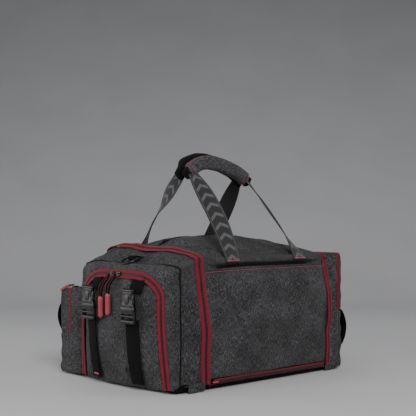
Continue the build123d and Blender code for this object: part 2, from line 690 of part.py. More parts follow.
SLEEVE_ZIP_X = 5.0
SLEEVE_ZIP_Z = 12.0
SLEEVE_ZIP_L = 330.0
SLEEVE_ZIP_H = 8.0
with BuildPart() as sleeve_zip:
    with BuildSketch(Plane.XY.offset(SLEEVE_ZIP_Z)):
        with Locations((SLEEVE_ZIP_X, -FOOT_Y - 3.4)):
            Rectangle(SLEEVE_ZIP_L, ZIP_T)
    extrude(amount=SLEEVE_ZIP_H)
sleeve_zip.part.label = "sleeve_zip"
export_step(sleeve_zip.part, "parts/sleeve_zip.step")

# Shoulder-strap rings on the two ends of the top

RING_R = 2.2
RING_FIT = 0.05
RING_SPAN = 17.0
RING_REACH = 27.0
RING_TAB_W = 24.0
RING_TAB_T = 1.5
RING_SLAB = 10.0           # the flat end of the tab, sewn to the bag
RINGS = {"near": (-242.0, 256.2, -1), "end": (222.0, 266.5, 1)}     # bar's X and Z, and the ring's side
for ring_end, (bar_x, bar_z, ring_dir) in RINGS.items():
    ring_name = f"{ring_end}_ring"
    with BuildPart() as ring:
        with BuildSketch(Plane.XZ.offset(-RING_SPAN)):
            with Locations((bar_x, bar_z)):
                Circle(RING_R)
        extrude(amount=2 * RING_SPAN)
        with BuildLine() as ring_path:
            ThreePointArc((bar_x, -RING_SPAN, bar_z), (bar_x + ring_dir * RING_REACH, 0, bar_z),
                          (bar_x, RING_SPAN, bar_z))
        with BuildSketch(Plane(origin=ring_path.line @ 0, z_dir=ring_path.line % 0)):
            Circle(RING_R)
        sweep(path=ring_path.line)
        with Locations((bar_x, -RING_SPAN, bar_z), (bar_x, RING_SPAN, bar_z)):
            Sphere(RING_R)
    ring.part.label = ring_name
    export_step(ring.part, f"parts/{ring_name}.step")

    tab_name = f"{ring_end}_ring_tab"
    with BuildPart() as ring_tab:
        with BuildSketch(Plane.XZ.offset(-RING_TAB_W / 2)):
            with Locations((bar_x, bar_z)):
                Circle(RING_R + RING_FIT + RING_TAB_T)
            with Locations((bar_x - ring_dir * RING_SLAB / 2, bar_z + RING_R)):
                Rectangle(RING_SLAB, 2)
            with Locations((bar_x, bar_z)):
                Circle(RING_R + RING_FIT, mode=Mode.SUBTRACT)
        extrude(amount=RING_TAB_W)
    ring_tab.part.label = tab_name
    export_step(ring_tab.part, f"parts/{tab_name}.step")

# Handles: webbing legs, and a grip split lengthwise so that each handle carries its own half

GRIP_LEFT = (-94.0, 443.0)
GRIP_RIGHT = (80.0, 424.0)
HEAD_GAP = 8.0
HEAD_Y = 14.0              # where the webbing meets the grip, from the middle plane
# three points along the top and the underside of the grip, in X and Z
GRIP_OVER = ((-104, 452), (-22, 485), (86, 434))
GRIP_UNDER = ((72, 420), (-16, 449), (-86, 440))
GRIP_BEVEL = 6.0
for side, handle_name in ((-1, "front"), (1, "back")):
    webbing_name = f"{handle_name}_handle_webbing"
    with BuildPart() as webbing:
        for foot_x, (head_x, head_z) in ((-HANDLE_X, GRIP_LEFT), (HANDLE_X, GRIP_RIGHT)):
            foot = Vector(foot_x, side * HANDLE_Y, HANDLE_Z)
            head = Vector(head_x, side * HEAD_Y, head_z)
            run = head - foot
            with BuildSketch(Plane(origin=foot, x_dir=Vector(1, 0, 0), z_dir=run)):
                Rectangle(WEB, WEB_T)
            extrude(amount=run.length - HEAD_GAP)
    webbing.part.label = webbing_name
    export_step(webbing.part, f"parts/{webbing_name}.step")

    grip_name = f"{handle_name}_grip"
    with BuildPart() as grip:
        with BuildSketch(Plane.XZ.offset(-GRIP_GAP - GRIP_DEPTH if side > 0 else GRIP_GAP)):
            with BuildLine():
                over = ThreePointArc(*GRIP_OVER)
                Line(over @ 1, GRIP_UNDER[0])
                below = ThreePointArc(*GRIP_UNDER)
                Line(below @ 1, over @ 0)
            make_face()
        extrude(amount=GRIP_DEPTH)
        outer_face = grip.faces().sort_by(Axis.Y)[-1 if side > 0 else 0]
        chamfer(outer_face.edges().sort_by(SortBy.LENGTH)[-2:], GRIP_BEVEL)
    grip.part.label = grip_name
    export_step(grip.part, f"parts/{grip_name}.step")
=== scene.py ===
import json
import math

import bmesh
import bpy
from bpy.props import FloatProperty, FloatVectorProperty, PointerProperty
from mathutils import Matrix, Vector, noise

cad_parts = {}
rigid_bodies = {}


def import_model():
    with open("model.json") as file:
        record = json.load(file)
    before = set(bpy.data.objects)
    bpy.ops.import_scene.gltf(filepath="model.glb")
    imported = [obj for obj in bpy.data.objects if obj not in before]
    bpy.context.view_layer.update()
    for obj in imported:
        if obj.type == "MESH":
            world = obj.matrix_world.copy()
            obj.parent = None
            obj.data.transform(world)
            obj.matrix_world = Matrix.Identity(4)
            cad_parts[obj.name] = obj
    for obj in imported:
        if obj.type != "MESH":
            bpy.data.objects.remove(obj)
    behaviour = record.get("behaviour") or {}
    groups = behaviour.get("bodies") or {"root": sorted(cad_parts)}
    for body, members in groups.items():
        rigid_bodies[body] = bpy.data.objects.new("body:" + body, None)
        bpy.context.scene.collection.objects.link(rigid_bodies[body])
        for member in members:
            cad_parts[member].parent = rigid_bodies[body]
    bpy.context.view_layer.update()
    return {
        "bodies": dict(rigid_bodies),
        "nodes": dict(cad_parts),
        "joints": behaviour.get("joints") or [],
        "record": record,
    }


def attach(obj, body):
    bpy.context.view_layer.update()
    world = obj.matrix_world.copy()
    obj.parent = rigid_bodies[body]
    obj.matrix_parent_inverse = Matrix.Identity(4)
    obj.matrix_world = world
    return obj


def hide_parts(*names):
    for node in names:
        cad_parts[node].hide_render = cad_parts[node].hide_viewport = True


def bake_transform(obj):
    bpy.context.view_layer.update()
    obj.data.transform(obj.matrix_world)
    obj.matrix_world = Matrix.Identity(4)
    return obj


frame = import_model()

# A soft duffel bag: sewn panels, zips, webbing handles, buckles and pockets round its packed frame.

bl_info = {
    "name": "Duffel Bag Maker",
    "version": (1, 0, 0),
    "blender": (4, 5, 0),
    "location": "3D View > Sidebar > Duffel",
    "description": "Sews a soft duffel bag with zips, buckles, pockets and handles round a packed frame",
    "category": "Add Mesh",
}

MM = 0.001


# Smooth curves through a few rows of numbers

def catmull(points, u):
    """A point on the smooth curve through points, where u counts them from 0."""
    last = len(points) - 1
    i = min(max(int(math.floor(u)), 0), last - 1)
    t = u - i
    a = points[max(i - 1, 0)]
    b = points[i]
    c = points[i + 1]
    d = points[min(i + 2, last)]
    if i == 0:
        a = [2 * p - q for p, q in zip(b, c)]
    if i + 2 > last:
        d = [2 * q - p for p, q in zip(b, c)]
    return [0.5 * (2 * q + (r - p) * t + (2 * p - 5 * q + 4 * r - s) * t * t
                   + (3 * q - p - 3 * r + s) * t ** 3) for p, q, r, s in zip(a, b, c, d)]


def along(rows, x):
    """The smooth row at x, from rows that each start with their own x."""
    i = 0
    while i < len(rows) - 2 and x > rows[i + 1][0]:
        i += 1
    share = (x - rows[i][0]) / (rows[i + 1][0] - rows[i][0])
    return catmull(rows, i + min(max(share, 0.0), 1.0))[1:]


def smooth(low, high, value):
    """0 below low, 1 above high and a soft step between."""
    t = min(max((value - low) / (high - low), 0.0), 1.0)
    return t * t * (3 - 2 * t)


def ripple(point, size, depth, seed):
    """A soft uneven height, depth at most, in waves about size wide."""
    return depth * noise.noise(Vector(point) / size + Vector((seed, seed * 0.7, -seed)))


# The bag's skin. Millimetres. A section runs from the front foot (u 0) over the belly (1), the top seam (2),
# the fold line of the flap (3) and the crown (4), and down the back to 8.

SECTIONS = (
    # x, foot, belly, seam, seam height, fold, fold height, crown height, how much higher the back's top is
    (-246.0, 152.0, 156.0, 152.0, 224.0, 139.0, 246.0, 251.0, 0.0),
    (-216.0, 158.0, 160.0, 149.0, 231.0, 132.0, 257.0, 265.0, 5.0),
    (-188.5, 160.0, 162.0, 143.0, 238.0, 126.0, 265.0, 276.0, 14.0),
    (-130.0, 161.0, 167.0, 152.0, 243.0, 126.5, 267.0, 297.0, 8.0),
    (-40.0, 161.0, 170.0, 157.0, 244.0, 126.5, 268.0, 305.0, 5.0),
    (80.0, 161.0, 170.0, 157.0, 244.0, 126.5, 268.0, 302.0, 5.0),
    (150.0, 160.0, 169.0, 156.0, 243.0, 127.0, 266.0, 288.0, 3.0),
    (188.5, 159.0, 167.0, 154.0, 242.0, 134.0, 263.0, 272.0, 2.0),
    (200.0, 158.0, 165.0, 155.0, 242.0, 138.0, 260.0, 266.0, 0.0),
)
FOOT_Z = 6.0
BELLY_Z = 122.0


def section(x):
    """The nine points, front foot to back foot, that the bag's skin passes through at x."""
    foot, belly, seam, seam_z, fold, fold_z, crown, rise = along(SECTIONS, x)
    half = ((foot, FOOT_Z), (belly, BELLY_Z), (seam, seam_z), (fold, fold_z))
    front = [(-y, z) for y, z in half]
    back = [(y, z + (rise if i > 2 else 0)) for i, (y, z) in enumerate(half)]
    return front + [(0.0, crown)] + back[::-1]


def creases(x, y, z):
    """How far the cloth stands out of its smooth shape: slack, drag lines and pinches beside the zips."""
    slack = ripple((x, y, z * 0.7), 90, 5.0, 3) + ripple((x, y, z), 36, 2.2, 8)
    drag = 2.4 * math.sin((x + 0.45 * z) / 13.0 + 2.2 * noise.noise(Vector((x, y, z)) / 60))
    near = 1 - smooth(20, 95, abs(x + 176))
    far = 1 - smooth(12, 60, abs(x - 182))
    return slack + drag * max(near, far) * smooth(20, 90, z) * 0.9


def skin(x, u, lift=0.0, crease=1.0):
    """A point of the skin in metres, lifted outwards by lift millimetres."""
    points = section(x)
    y, z = catmull(points, u)
    y2, z2 = catmull(points, min(u + 0.02, 8.0))
    y1, z1 = catmull(points, max(u - 0.02, 0.0))
    run = Vector((0, y2 - y1, z2 - z1)).normalized()
    out = Vector((0, -run.z, run.y))
    rise = lift + crease * creases(x, y, z)
    return Vector((x, y, z)) * MM + out * rise * MM


# The bulging end of the near compartment: a fold-down panel inside an arch of zip

U_FOOT = 136.0
U_HEAD = 122.0
U_TOP = 229.0
U_DROP = 34.0


def end_x(y, z):
    """Where the bulging end's cloth stands, for a point y, z of its outline or panel."""
    share = min(max(z / U_TOP, 0.0), 1.15)
    reach = catmull(((14.0,), (25.0,), (28.5,), (27.0,), (15.0,), (-8.0,)), share * 4)[0]
    edge = 264.0 + 6.0 * math.sin(math.pi * min(share, 1.0))
    return -(edge + reach * (1 - min(abs(y) / 136.0, 1.2) ** 2))


def u_half(z):
    """Half width of the arch at height z."""
    return U_FOOT + (U_HEAD - U_FOOT) * z / U_TOP


def u_top(a):
    """Height of the arch's top at a, from -1 at one leg to 1 at the other."""
    return U_TOP - U_DROP * abs(a) ** 5


def arch_path(half, top, foot, count, corner=6):
    """Points y, z up one leg, over the top and down the other leg of an arch, evenly spaced and softened."""
    raw = []
    for i in range(41):
        z = foot + (top(1) - foot) * i / 40
        raw.append((-half(z), z))
    for i in range(1, 80):
        a = -1 + 2 * i / 80
        raw.append((a * half(top(a)), top(a)))
    raw += [(-y, z) for y, z in raw[40::-1]]
    for _ in range(corner):
        raw = [raw[0]] + [((p[0] + 2 * q[0] + r[0]) / 4, (p[1] + 2 * q[1] + r[1]) / 4)
                          for p, q, r in zip(raw, raw[1:], raw[2:])] + [raw[-1]]
    return even(raw, count)


def even(points, count):
    """count points evenly spaced along a run of points."""
    vectors = [Vector(p) for p in points]
    lengths = [0.0]
    for p, q in zip(vectors, vectors[1:]):
        lengths.append(lengths[-1] + (q - p).length)
    result = []
    i = 0
    for k in range(count):
        goal = lengths[-1] * k / (count - 1)
        while i < len(vectors) - 2 and lengths[i + 1] < goal:
            i += 1
        span = max(lengths[i + 1] - lengths[i], 1e-9)
        result.append(vectors[i].lerp(vectors[i + 1], (goal - lengths[i]) / span))
    return result


# Mesh makers

def clear_selection():
    """Nothing selected and nothing in edit mode."""
    if bpy.context.object and bpy.context.object.mode != "OBJECT":
        bpy.ops.object.mode_set(mode="OBJECT")
    bpy.ops.object.select_all(action="DESELECT")


def finish_piece(piece, name, material, body=None, slot=None, replaces=()):
    """Names a piece, gives it its material and settles what it rides on."""
    clear_selection()
    piece.name = name
    piece.data.name = name
    piece.data.materials.clear()
    piece.data.materials.append(material)
    bpy.context.view_layer.objects.active = piece
    piece.select_set(True)
    bpy.ops.object.transform_apply(location=True, rotation=True, scale=True)
    piece.select_set(False)
    if replaces:
        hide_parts(*replaces)
    if body:
        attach(piece, body)
    return piece


def apply_modifiers(piece):
    """Applies every modifier of a piece, in order."""
    clear_selection()
    bpy.context.view_layer.objects.active = piece
    piece.select_set(True)
    for modifier in list(piece.modifiers):
        bpy.ops.object.modifier_apply(modifier=modifier.name)


def cloth_patch(place, across, up, wall, inward=True, size=(1.0, 1.0), soft=60):
    """A grid laid on a surface: place(a, b) gives each point for a and b from 0 to 1.
    wall is its thickness."""
    clear_selection()
    bpy.ops.mesh.primitive_grid_add(x_subdivisions=across, y_subdivisions=up, size=1)
    piece = bpy.context.object
    for vertex in piece.data.vertices:
        a = vertex.co.x + 0.5
        b = vertex.co.y + 0.5
        vertex.co = place(a, b)
    for loop in piece.data.uv_layers.active.data:
        loop.uv = (loop.uv[0] * size[0], loop.uv[1] * size[1])
    if not inward:
        bpy.ops.object.mode_set(mode="EDIT")
        bpy.ops.mesh.select_all(action="SELECT")
        bpy.ops.mesh.flip_normals()
        bpy.ops.object.mode_set(mode="OBJECT")
    if wall:
        thick = piece.modifiers.new("wall", "SOLIDIFY")
        thick.thickness = wall * MM
        thick.offset = -1
        apply_modifiers(piece)
    bpy.ops.object.shade_smooth_by_angle(angle=math.radians(soft))
    return piece


def sweep(frames, profile, closed=False, soft=40):
    """A bar of constant or changing section. frames holds (origin, side, out) in metres; profile is a list of
    (side, out) points in millimetres, or a function of the share along the bar that gives one."""
    rings = len(frames)
    get = profile if callable(profile) else (lambda share: profile)
    corners = len(get(0.0))
    clear_selection()
    bpy.ops.mesh.primitive_grid_add(x_subdivisions=corners, y_subdivisions=rings - 1, size=1)
    piece = bpy.context.object
    lengths = [0.0]
    for (p, _, _), (q, _, _) in zip(frames, frames[1:]):
        lengths.append(lengths[-1] + (q - p).length)
    outline = get(0.5)
    girth = [0.0]
    for p, q in zip(outline, list(outline[1:]) + [outline[0]]):
        girth.append(girth[-1] + math.hypot(q[0] - p[0], q[1] - p[1]) * MM)
    for vertex in piece.data.vertices:
        i = round((vertex.co.y + 0.5) * (rings - 1))
        k = round((vertex.co.x + 0.5) * corners)
        origin, side, out = frames[i]
        points = get(i / (rings - 1))
        s, o = points[k % corners]
        vertex.co = origin + side * s * MM + out * o * MM
    for loop in piece.data.uv_layers.active.data:
        k = round(loop.uv[0] * corners)
        i = round(loop.uv[1] * (rings - 1))
        loop.uv = (girth[k], lengths[i])
    bpy.ops.object.mode_set(mode="EDIT")
    bpy.ops.mesh.select_all(action="SELECT")
    bpy.ops.mesh.remove_doubles(threshold=1e-6)
    if not closed:
        bpy.ops.mesh.select_all(action="DESELECT")
        bpy.ops.mesh.select_non_manifold()
        bpy.ops.mesh.edge_face_add()
    bpy.ops.mesh.select_all(action="SELECT")
    bpy.ops.mesh.normals_make_consistent(inside=False)
    bpy.ops.object.mode_set(mode="OBJECT")
    bpy.ops.object.shade_smooth_by_angle(angle=math.radians(soft))
    return piece


def path_frames(points, out_at):
    """Frames along points in metres; out_at(i, point, tangent) gives each one's outward direction."""
    frames = []
    last = len(points) - 1
    for i, point in enumerate(points):
        tangent = (points[min(i + 1, last)] - points[max(i - 1, 0)]).normalized()
        out = out_at(i, point, tangent)
        out = (out - tangent * out.dot(tangent)).normalized()
        frames.append((point, tangent.cross(out).normalized(), out))
    return frames


def rounded(width, height, corner, steps=3, lift=0.0):
    """A rounded rectangle's outline, width by height, its underside at lift."""
    outline = []
    for cx, cy, start in ((1, 1, 0), (-1, 1, 90), (-1, -1, 180), (1, -1, 270)):
        for k in range(steps + 1):
            angle = math.radians(start + 90 * k / steps)
            outline.append((cx * (width / 2 - corner) + corner * math.cos(angle),
                            lift + height / 2 + cy * (height / 2 - corner) + corner * math.sin(angle)))
    return outline


def joined(parts):
    """Several fresh meshes as one."""
    clear_selection()
    for part in parts:
        part.select_set(True)
    bpy.context.view_layer.objects.active = parts[0]
    if len(parts) > 1:
        bpy.ops.object.join()
    return parts[0]


def copies(piece, places):
    """Many copies of one small modelled piece, as one mesh, each moved by its own matrix."""
    made = bmesh.new()
    for place in places:
        start = len(made.verts)
        made.from_mesh(piece.data)
        made.verts.ensure_lookup_table()
        bmesh.ops.transform(made, matrix=place, verts=made.verts[start:])
    mesh = bpy.data.meshes.new(piece.name)
    made.to_mesh(mesh)
    made.free()
    old = piece.data
    piece.data = mesh
    bpy.data.meshes.remove(old)
    return piece


def spots(frames, gap, start=0.0, end=0.0):
    """Matrices every gap millimetres along frames: X runs along, Y to the side and Z outwards."""
    lengths = [0.0]
    for (p, _, _), (q, _, _) in zip(frames, frames[1:]):
        lengths.append(lengths[-1] + (q - p).length)
    result = []
    at = start * MM
    i = 0
    while at < lengths[-1] - end * MM:
        while i < len(frames) - 2 and lengths[i + 1] < at:
            i += 1
        t = (at - lengths[i]) / (lengths[i + 1] - lengths[i])
        origin = frames[i][0].lerp(frames[i + 1][0], t)
        out = frames[i][2].lerp(frames[i + 1][2], t).normalized()
        run = (frames[i + 1][0] - frames[i][0]).normalized()
        out = (out - run * out.dot(run)).normalized()
        side = out.cross(run)
        turn = Matrix((run, side, out)).transposed().to_4x4()
        result.append(Matrix.Translation(origin) @ turn)
        at += gap * MM
    return result


def bar(length, width, height, bevel, segments=2):
    """A small bar with rounded edges, lying along X at the origin."""
    clear_selection()
    bpy.ops.mesh.primitive_cube_add(size=1)
    piece = bpy.context.object
    piece.scale = (length * MM, width * MM, height * MM)
    bpy.ops.object.transform_apply(scale=True)
    bpy.ops.object.mode_set(mode="EDIT")
    bpy.ops.mesh.select_all(action="SELECT")
    bpy.ops.mesh.bevel(offset=bevel * MM, segments=segments)
    bpy.ops.object.mode_set(mode="OBJECT")
    return piece


def shifted(frames, side=0.0, out=0.0):
    """Frames moved sideways and outwards by millimetres."""
    return [(p + s * side * MM + o * out * MM, s, o) for p, s, o in frames]


def seam_stitches(name, frames, material, body, gap=5.0, length=3.2, thick=1.0, **more):
    """A row of thread stitches along frames."""
    stitch = bar(length, thick, thick * 0.8, thick * 0.3, 1)
    piece = copies(stitch, spots(frames, gap, start=gap / 2))
    return finish_piece(piece, name, material, body, **more)


def zip_run(name, frames, width, looks, body, slot="crimson_zip", nodes=(), teeth=2.6, proud=2.0):
    """A zip along frames: two rounded tapes with a row of coil teeth between them."""
    coil = max(width * 0.24, 3.0)
    tape = (width - coil) / 2
    tapes = []
    for side in (-1, 1):
        path = shifted(frames, side=side * (coil + tape) / 2)
        profile = rounded(tape, 2.4, 1.1, 3, lift=proud - 2.4)
        tapes.append(sweep(path, profile))
    finish_piece(joined(tapes), name + "_tapes", looks["zip"], body, slot, nodes)
    # The coil teeth share the tapes' crimson; their darker crimson colour is painted shade of the groove they
    # sit in.
    tooth = bar(teeth * 0.62, coil * 0.92, 1.9, 0.45, 1)
    teeth_piece = copies(tooth, [m @ Matrix.Translation((0, 0, (proud - 1.4) * MM))
                                 for m in spots(frames, teeth, start=teeth / 2)])
    finish_piece(teeth_piece, name + "_teeth", looks["coil"], body, slot)
    # A near-black strip under the coil, seen in the gaps beside it: painted shade of the grooves between the
    # coil and the tapes.
    gap_shade_strip = sweep(frames, [(coil / 2 + 0.8, proud - 2.6), (coil / 2 + 0.8, proud - 1.7),
                         (-coil / 2 - 0.8, proud - 1.7), (-coil / 2 - 0.8, proud - 2.6)])
    finish_piece(gap_shade_strip, name + "_bed", looks["coil_bed"], body, slot)


def strap(frames, width, thick=1.8, widths=None):
    """Woven webbing along frames, with its patterned face outwards; widths gives its width at each share."""
    if widths:
        profile = lambda share: rounded(catmull(widths, share * (len(widths) - 1))[0], thick, thick * 0.45,
                                        2)
    else:
        profile = rounded(width, thick, thick * 0.45, 2)
    return sweep(frames, profile, soft=50)


# Looks

def looks_group(name, base, rough, sheen=0.0, metal=0.0, coat=0.0, specular=0.5):
    """A new material with its shader's constants set, ready for a pattern."""
    look = bpy.data.materials.new(name)
    look.use_nodes = True
    nodes = look.node_tree.nodes
    shader = nodes["Principled BSDF"]
    shader.inputs["Base Color"].default_value = (*base, 1)
    shader.inputs["Roughness"].default_value = rough
    shader.inputs["Metallic"].default_value = metal
    shader.inputs["Sheen Weight"].default_value = sheen
    shader.inputs["Sheen Roughness"].default_value = 0.5
    shader.inputs["Coat Weight"].default_value = coat
    shader.inputs["Coat Roughness"].default_value = 0.15
    shader.inputs["Specular IOR Level"].default_value = specular
    return look, nodes, look.node_tree.links, shader


def grain(nodes, links, source, scale, noise_scale, detail=2.0, rough=0.5):
    """Noise stretched along one direction of the source coordinates."""
    stretch = nodes.new("ShaderNodeMapping")
    stretch.inputs["Scale"].default_value = scale
    links.new(source, stretch.inputs["Vector"])
    field = nodes.new("ShaderNodeTexNoise")
    field.inputs["Scale"].default_value = noise_scale
    field.inputs["Detail"].default_value = detail
    field.inputs["Roughness"].default_value = rough
    links.new(stretch.outputs["Vector"], field.inputs["Vector"])
    return field.outputs["Fac"]


def maths(nodes, links, operation, *values):
    """One maths node, fed by sockets and numbers."""
    step = nodes.new("ShaderNodeMath")
    step.operation = operation
    for i, value in enumerate(values):
        if isinstance(value, (int, float)):
            step.inputs[i].default_value = value
        else:
            links.new(value, step.inputs[i])
    return step.outputs[0]


def ramp(nodes, links, value, stops):
    """Colours picked by a value, from stops of (place, colour)."""
    picker = nodes.new("ShaderNodeValToRGB")
    elements = picker.color_ramp.elements
    while len(elements) < len(stops):
        elements.new(0.5)
    for element, (place, colour) in zip(elements, stops):
        element.position = place
        element.color = (*colour, 1)
    links.new(value, picker.inputs["Fac"])
    return picker.outputs["Color"]


def bump(nodes, links, shader, height, depth, strength=0.7):
    """Fine relief under the light."""
    relief = nodes.new("ShaderNodeBump")
    relief.inputs["Strength"].default_value = strength
    relief.inputs["Distance"].default_value = depth * MM
    links.new(height, relief.inputs["Height"])
    links.new(relief.outputs["Normal"], shader.inputs["Normal"])


def heather(name, dark, middle, light, contrast=1.0):
    """Two-tone woven cloth: short pale threads over dark ones, crossing, with a soft uneven wear."""
    look, nodes, links, shader = looks_group(name, middle, 0.92, sheen=0.04, specular=0.16)
    coordinates = nodes.new("ShaderNodeTexCoord")
    uv = coordinates.outputs["UV"]
    warp = grain(nodes, links, uv, (1.0, 0.16, 1.0), 1500, 3.0, 0.6)
    weft = grain(nodes, links, uv, (0.16, 1.0, 1.0), 1300, 3.0, 0.6)
    slub = grain(nodes, links, uv, (1.0, 0.22, 1.0), 460, 2.0, 0.5)
    wear = grain(nodes, links, coordinates.outputs["Object"], (1.0, 1.0, 1.0), 22, 3.0, 0.5)
    thread = maths(nodes, links, "ADD", maths(nodes, links, "MULTIPLY", warp, 0.45),
                   maths(nodes, links, "MULTIPLY", weft, 0.25))
    thread = maths(nodes, links, "ADD", thread, maths(nodes, links, "MULTIPLY", slub, 0.2 * contrast))
    thread = maths(nodes, links, "ADD", thread, maths(nodes, links, "MULTIPLY", wear, 0.1))
    colour = ramp(nodes, links, thread, ((0.40, dark), (0.5, middle), (0.62, light)))
    links.new(colour, shader.inputs["Base Color"])
    bump(nodes, links, shader, thread, 0.5, 0.8)
    return look


def woven(name, base, rough=0.8, pitch=1.6, sheen=0.2, tone=0.35, specular=0.35):
    """Close-woven tape or cloth with fine ribs across it."""
    look, nodes, links, shader = looks_group(name, base, rough, sheen=sheen, specular=specular)
    coordinates = nodes.new("ShaderNodeTexCoord")
    uv = coordinates.outputs["UV"]
    split = nodes.new("ShaderNodeSeparateXYZ")
    links.new(uv, split.inputs[0])
    turn = 2 * math.pi / (pitch * MM)
    rib = maths(nodes, links, "SINE", maths(nodes, links, "MULTIPLY", split.outputs["Y"], turn))
    cross = maths(nodes, links, "SINE", maths(nodes, links, "MULTIPLY", split.outputs["X"], turn * 0.7))
    weave = maths(nodes, links, "MULTIPLY_ADD", maths(nodes, links, "MULTIPLY", rib, cross), 0.5, 0.5)
    fuzz = grain(nodes, links, coordinates.outputs["Object"], (1, 1, 1), 160, 3.0, 0.6)
    mixed = maths(nodes, links, "ADD", maths(nodes, links, "MULTIPLY", weave, 0.4),
                  maths(nodes, links, "MULTIPLY", fuzz, 0.6))
    low = tuple(c * (1 - tone) for c in base)
    high = tuple(min(c * (1 + tone), 1) for c in base)
    links.new(ramp(nodes, links, mixed, ((0.25, low), (0.75, high))), shader.inputs["Base Color"])
    bump(nodes, links, shader, mixed, 0.35, 0.8)
    return look


def handle_webbing(name, base, pale, width):
    """Woven webbing with a jacquard row of pale chevrons down its outer face."""
    look, nodes, links, shader = looks_group(name, base, 0.75, sheen=0.2, specular=0.35)
    coordinates = nodes.new("ShaderNodeTexCoord")
    split = nodes.new("ShaderNodeSeparateXYZ")
    links.new(coordinates.outputs["UV"], split.inputs[0])
    across = maths(nodes, links, "SUBTRACT", split.outputs["X"], width * 0.5 * MM)
    fold = maths(nodes, links, "ABSOLUTE", across)
    slant = maths(nodes, links, "MULTIPLY_ADD", fold, 0.8, split.outputs["Y"])
    beat = maths(nodes, links, "FRACT", maths(nodes, links, "DIVIDE", slant, 26 * MM))
    line = maths(nodes, links, "LESS_THAN",
                 maths(nodes, links, "ABSOLUTE", maths(nodes, links, "SUBTRACT", beat, 0.5)), 0.16)
    inner = maths(nodes, links, "LESS_THAN", fold, width * 0.36 * MM)
    selvedge = maths(nodes, links, "SUBTRACT", fold, width * 0.43 * MM)
    edge = maths(nodes, links, "LESS_THAN", maths(nodes, links, "ABSOLUTE", selvedge), 0.6 * MM)
    mark = maths(nodes, links, "MAXIMUM", maths(nodes, links, "MULTIPLY", line, inner), edge)
    fuzz = grain(nodes, links, coordinates.outputs["UV"], (1.0, 0.3, 1.0), 1500, 2.0, 0.6)
    mark = maths(nodes, links, "MULTIPLY", mark, maths(nodes, links, "MULTIPLY_ADD", fuzz, 0.9, 0.25))
    links.new(ramp(nodes, links, mark, ((0.0, base), (0.75, pale))), shader.inputs["Base Color"])
    turn = 2 * math.pi / (1.7 * MM)
    ribs = maths(nodes, links, "SINE", maths(nodes, links, "MULTIPLY", split.outputs["Y"], turn))
    bump(nodes, links, shader, maths(nodes, links, "ADD", ribs, fuzz), 0.2, 0.7)
    return look


def moulded(name, base, rough, specular=0.5, coat=0.0, speck=0.25, depth=0.05):
    """Moulded plastic or rubber: a faint uneven skin and light scuffs."""
    look, nodes, links, shader = looks_group(name, base, rough, coat=coat, specular=specular)
    coordinates = nodes.new("ShaderNodeTexCoord")
    skin_grain = grain(nodes, links, coordinates.outputs["Object"], (1, 1, 1), 700, 3.0, 0.6)
    scuff = grain(nodes, links, coordinates.outputs["Object"], (1.0, 0.3, 1.0), 90, 4.0, 0.7)
    low = tuple(c * (1 - speck) for c in base)
    high = tuple(min(c * (1 + speck) + 0.004, 1) for c in base)
    links.new(ramp(nodes, links, scuff, ((0.35, low), (0.7, high))), shader.inputs["Base Color"])
    spread = maths(nodes, links, "MULTIPLY_ADD", scuff, 0.25, rough - 0.1)
    links.new(spread, shader.inputs["Roughness"])
    bump(nodes, links, shader, skin_grain, depth, 0.5)
    return look


def make_looks(settings):
    """Every material the bag needs, by a short name."""
    cloth = [tuple(shade) for shade in (settings.cloth_dark, settings.cloth_middle, settings.cloth_pale)]
    return {
        "cloth": heather("heather_cloth", *cloth),
        "grip": heather("grip_cloth", (0.004, 0.004, 0.0045), (0.018, 0.018, 0.0195), (0.10, 0.10, 0.104),
                        1.6),
        "dark_cloth": woven("dark_cloth", (0.006, 0.006, 0.0065), 0.9, 1.2, sheen=0.02, tone=0.5,
                            specular=0.14),
        "base": woven("base_cloth", (0.003, 0.003, 0.0035), 0.9, 1.8, sheen=0.01, tone=0.5, specular=0.12),
        "lining": woven("lining_cloth", (0.007, 0.007, 0.0075), 0.9, 1.0, sheen=0.02, tone=0.4,
                        specular=0.14),
        "zip": woven("zip_tape", tuple(settings.zip_colour), 0.75, 1.3, sheen=0.08, tone=0.3, specular=0.2),
        # The coil's own colour is the tapes' crimson; this darker crimson is painted shade of its groove. The
        # near-black strip below is painted shade of the gaps beside the coil and under the sleeve zip's tape.
        "coil": moulded("zip_coil_painted_shade", (0.035, 0.006, 0.010), 0.4),
        "coil_bed": woven("zip_bed", (0.010, 0.005, 0.006), 0.8, 1.0),
        "thread": woven("red_thread", tuple(settings.thread_colour), 0.6, 0.8, tone=0.2),
        "webbing": woven("webbing", tuple(settings.webbing_colour), 0.85, 2.0, sheen=0.01, tone=0.5,
                         specular=0.13),
        "handle": handle_webbing("handle_webbing", (0.014, 0.014, 0.015), (0.095, 0.095, 0.10),
                                 settings.handle_width / MM),
        "piping": woven("piping_cloth", (0.004, 0.004, 0.0045), 0.85, 1.0, sheen=0.02, tone=0.4,
                        specular=0.14),
        "plastic": moulded("glossy_plastic", tuple(settings.plastic_colour), 0.3, specular=0.35, coat=0.15,
                           speck=0.3),
        "rubber": moulded("crimson_rubber", tuple(settings.tab_colour), 0.42, coat=0.1, speck=0.15),
        "board": moulded("base_board", (0.02, 0.02, 0.022), 0.6, speck=0.4, depth=0.2),
    }


# Where things run on the skin

def skin_out(x, u):
    """The direction straight out of the bag's skin."""
    y2, z2 = catmull(section(x), min(u + 0.02, 8.0))
    y1, z1 = catmull(section(x), max(u - 0.02, 0.0))
    return Vector((0, -(z2 - z1), y2 - y1)).normalized()


def skin_normal(x, u):
    """Straight out of the smooth skin, allowing for how it rises along the bag."""
    run = skin(x + 4, u, 0, 0) - skin(x - 4, u, 0, 0)
    up = skin(x, min(u + 0.03, 8.0), 0, 0) - skin(x, max(u - 0.03, 0.0), 0, 0)
    return run.cross(up).normalized()


def frames_round(x, u0, u1, count, lift=0.0, crease=1.0):
    """Frames round the bag at x, from u0 to u1."""
    steps = [u0 + (u1 - u0) * i / (count - 1) for i in range(count)]
    points = [skin(x, u, 0.0, crease) + skin_normal(x, u) * lift * MM for u in steps]
    return path_frames(points, lambda i, p, t: skin_normal(x, steps[i]))


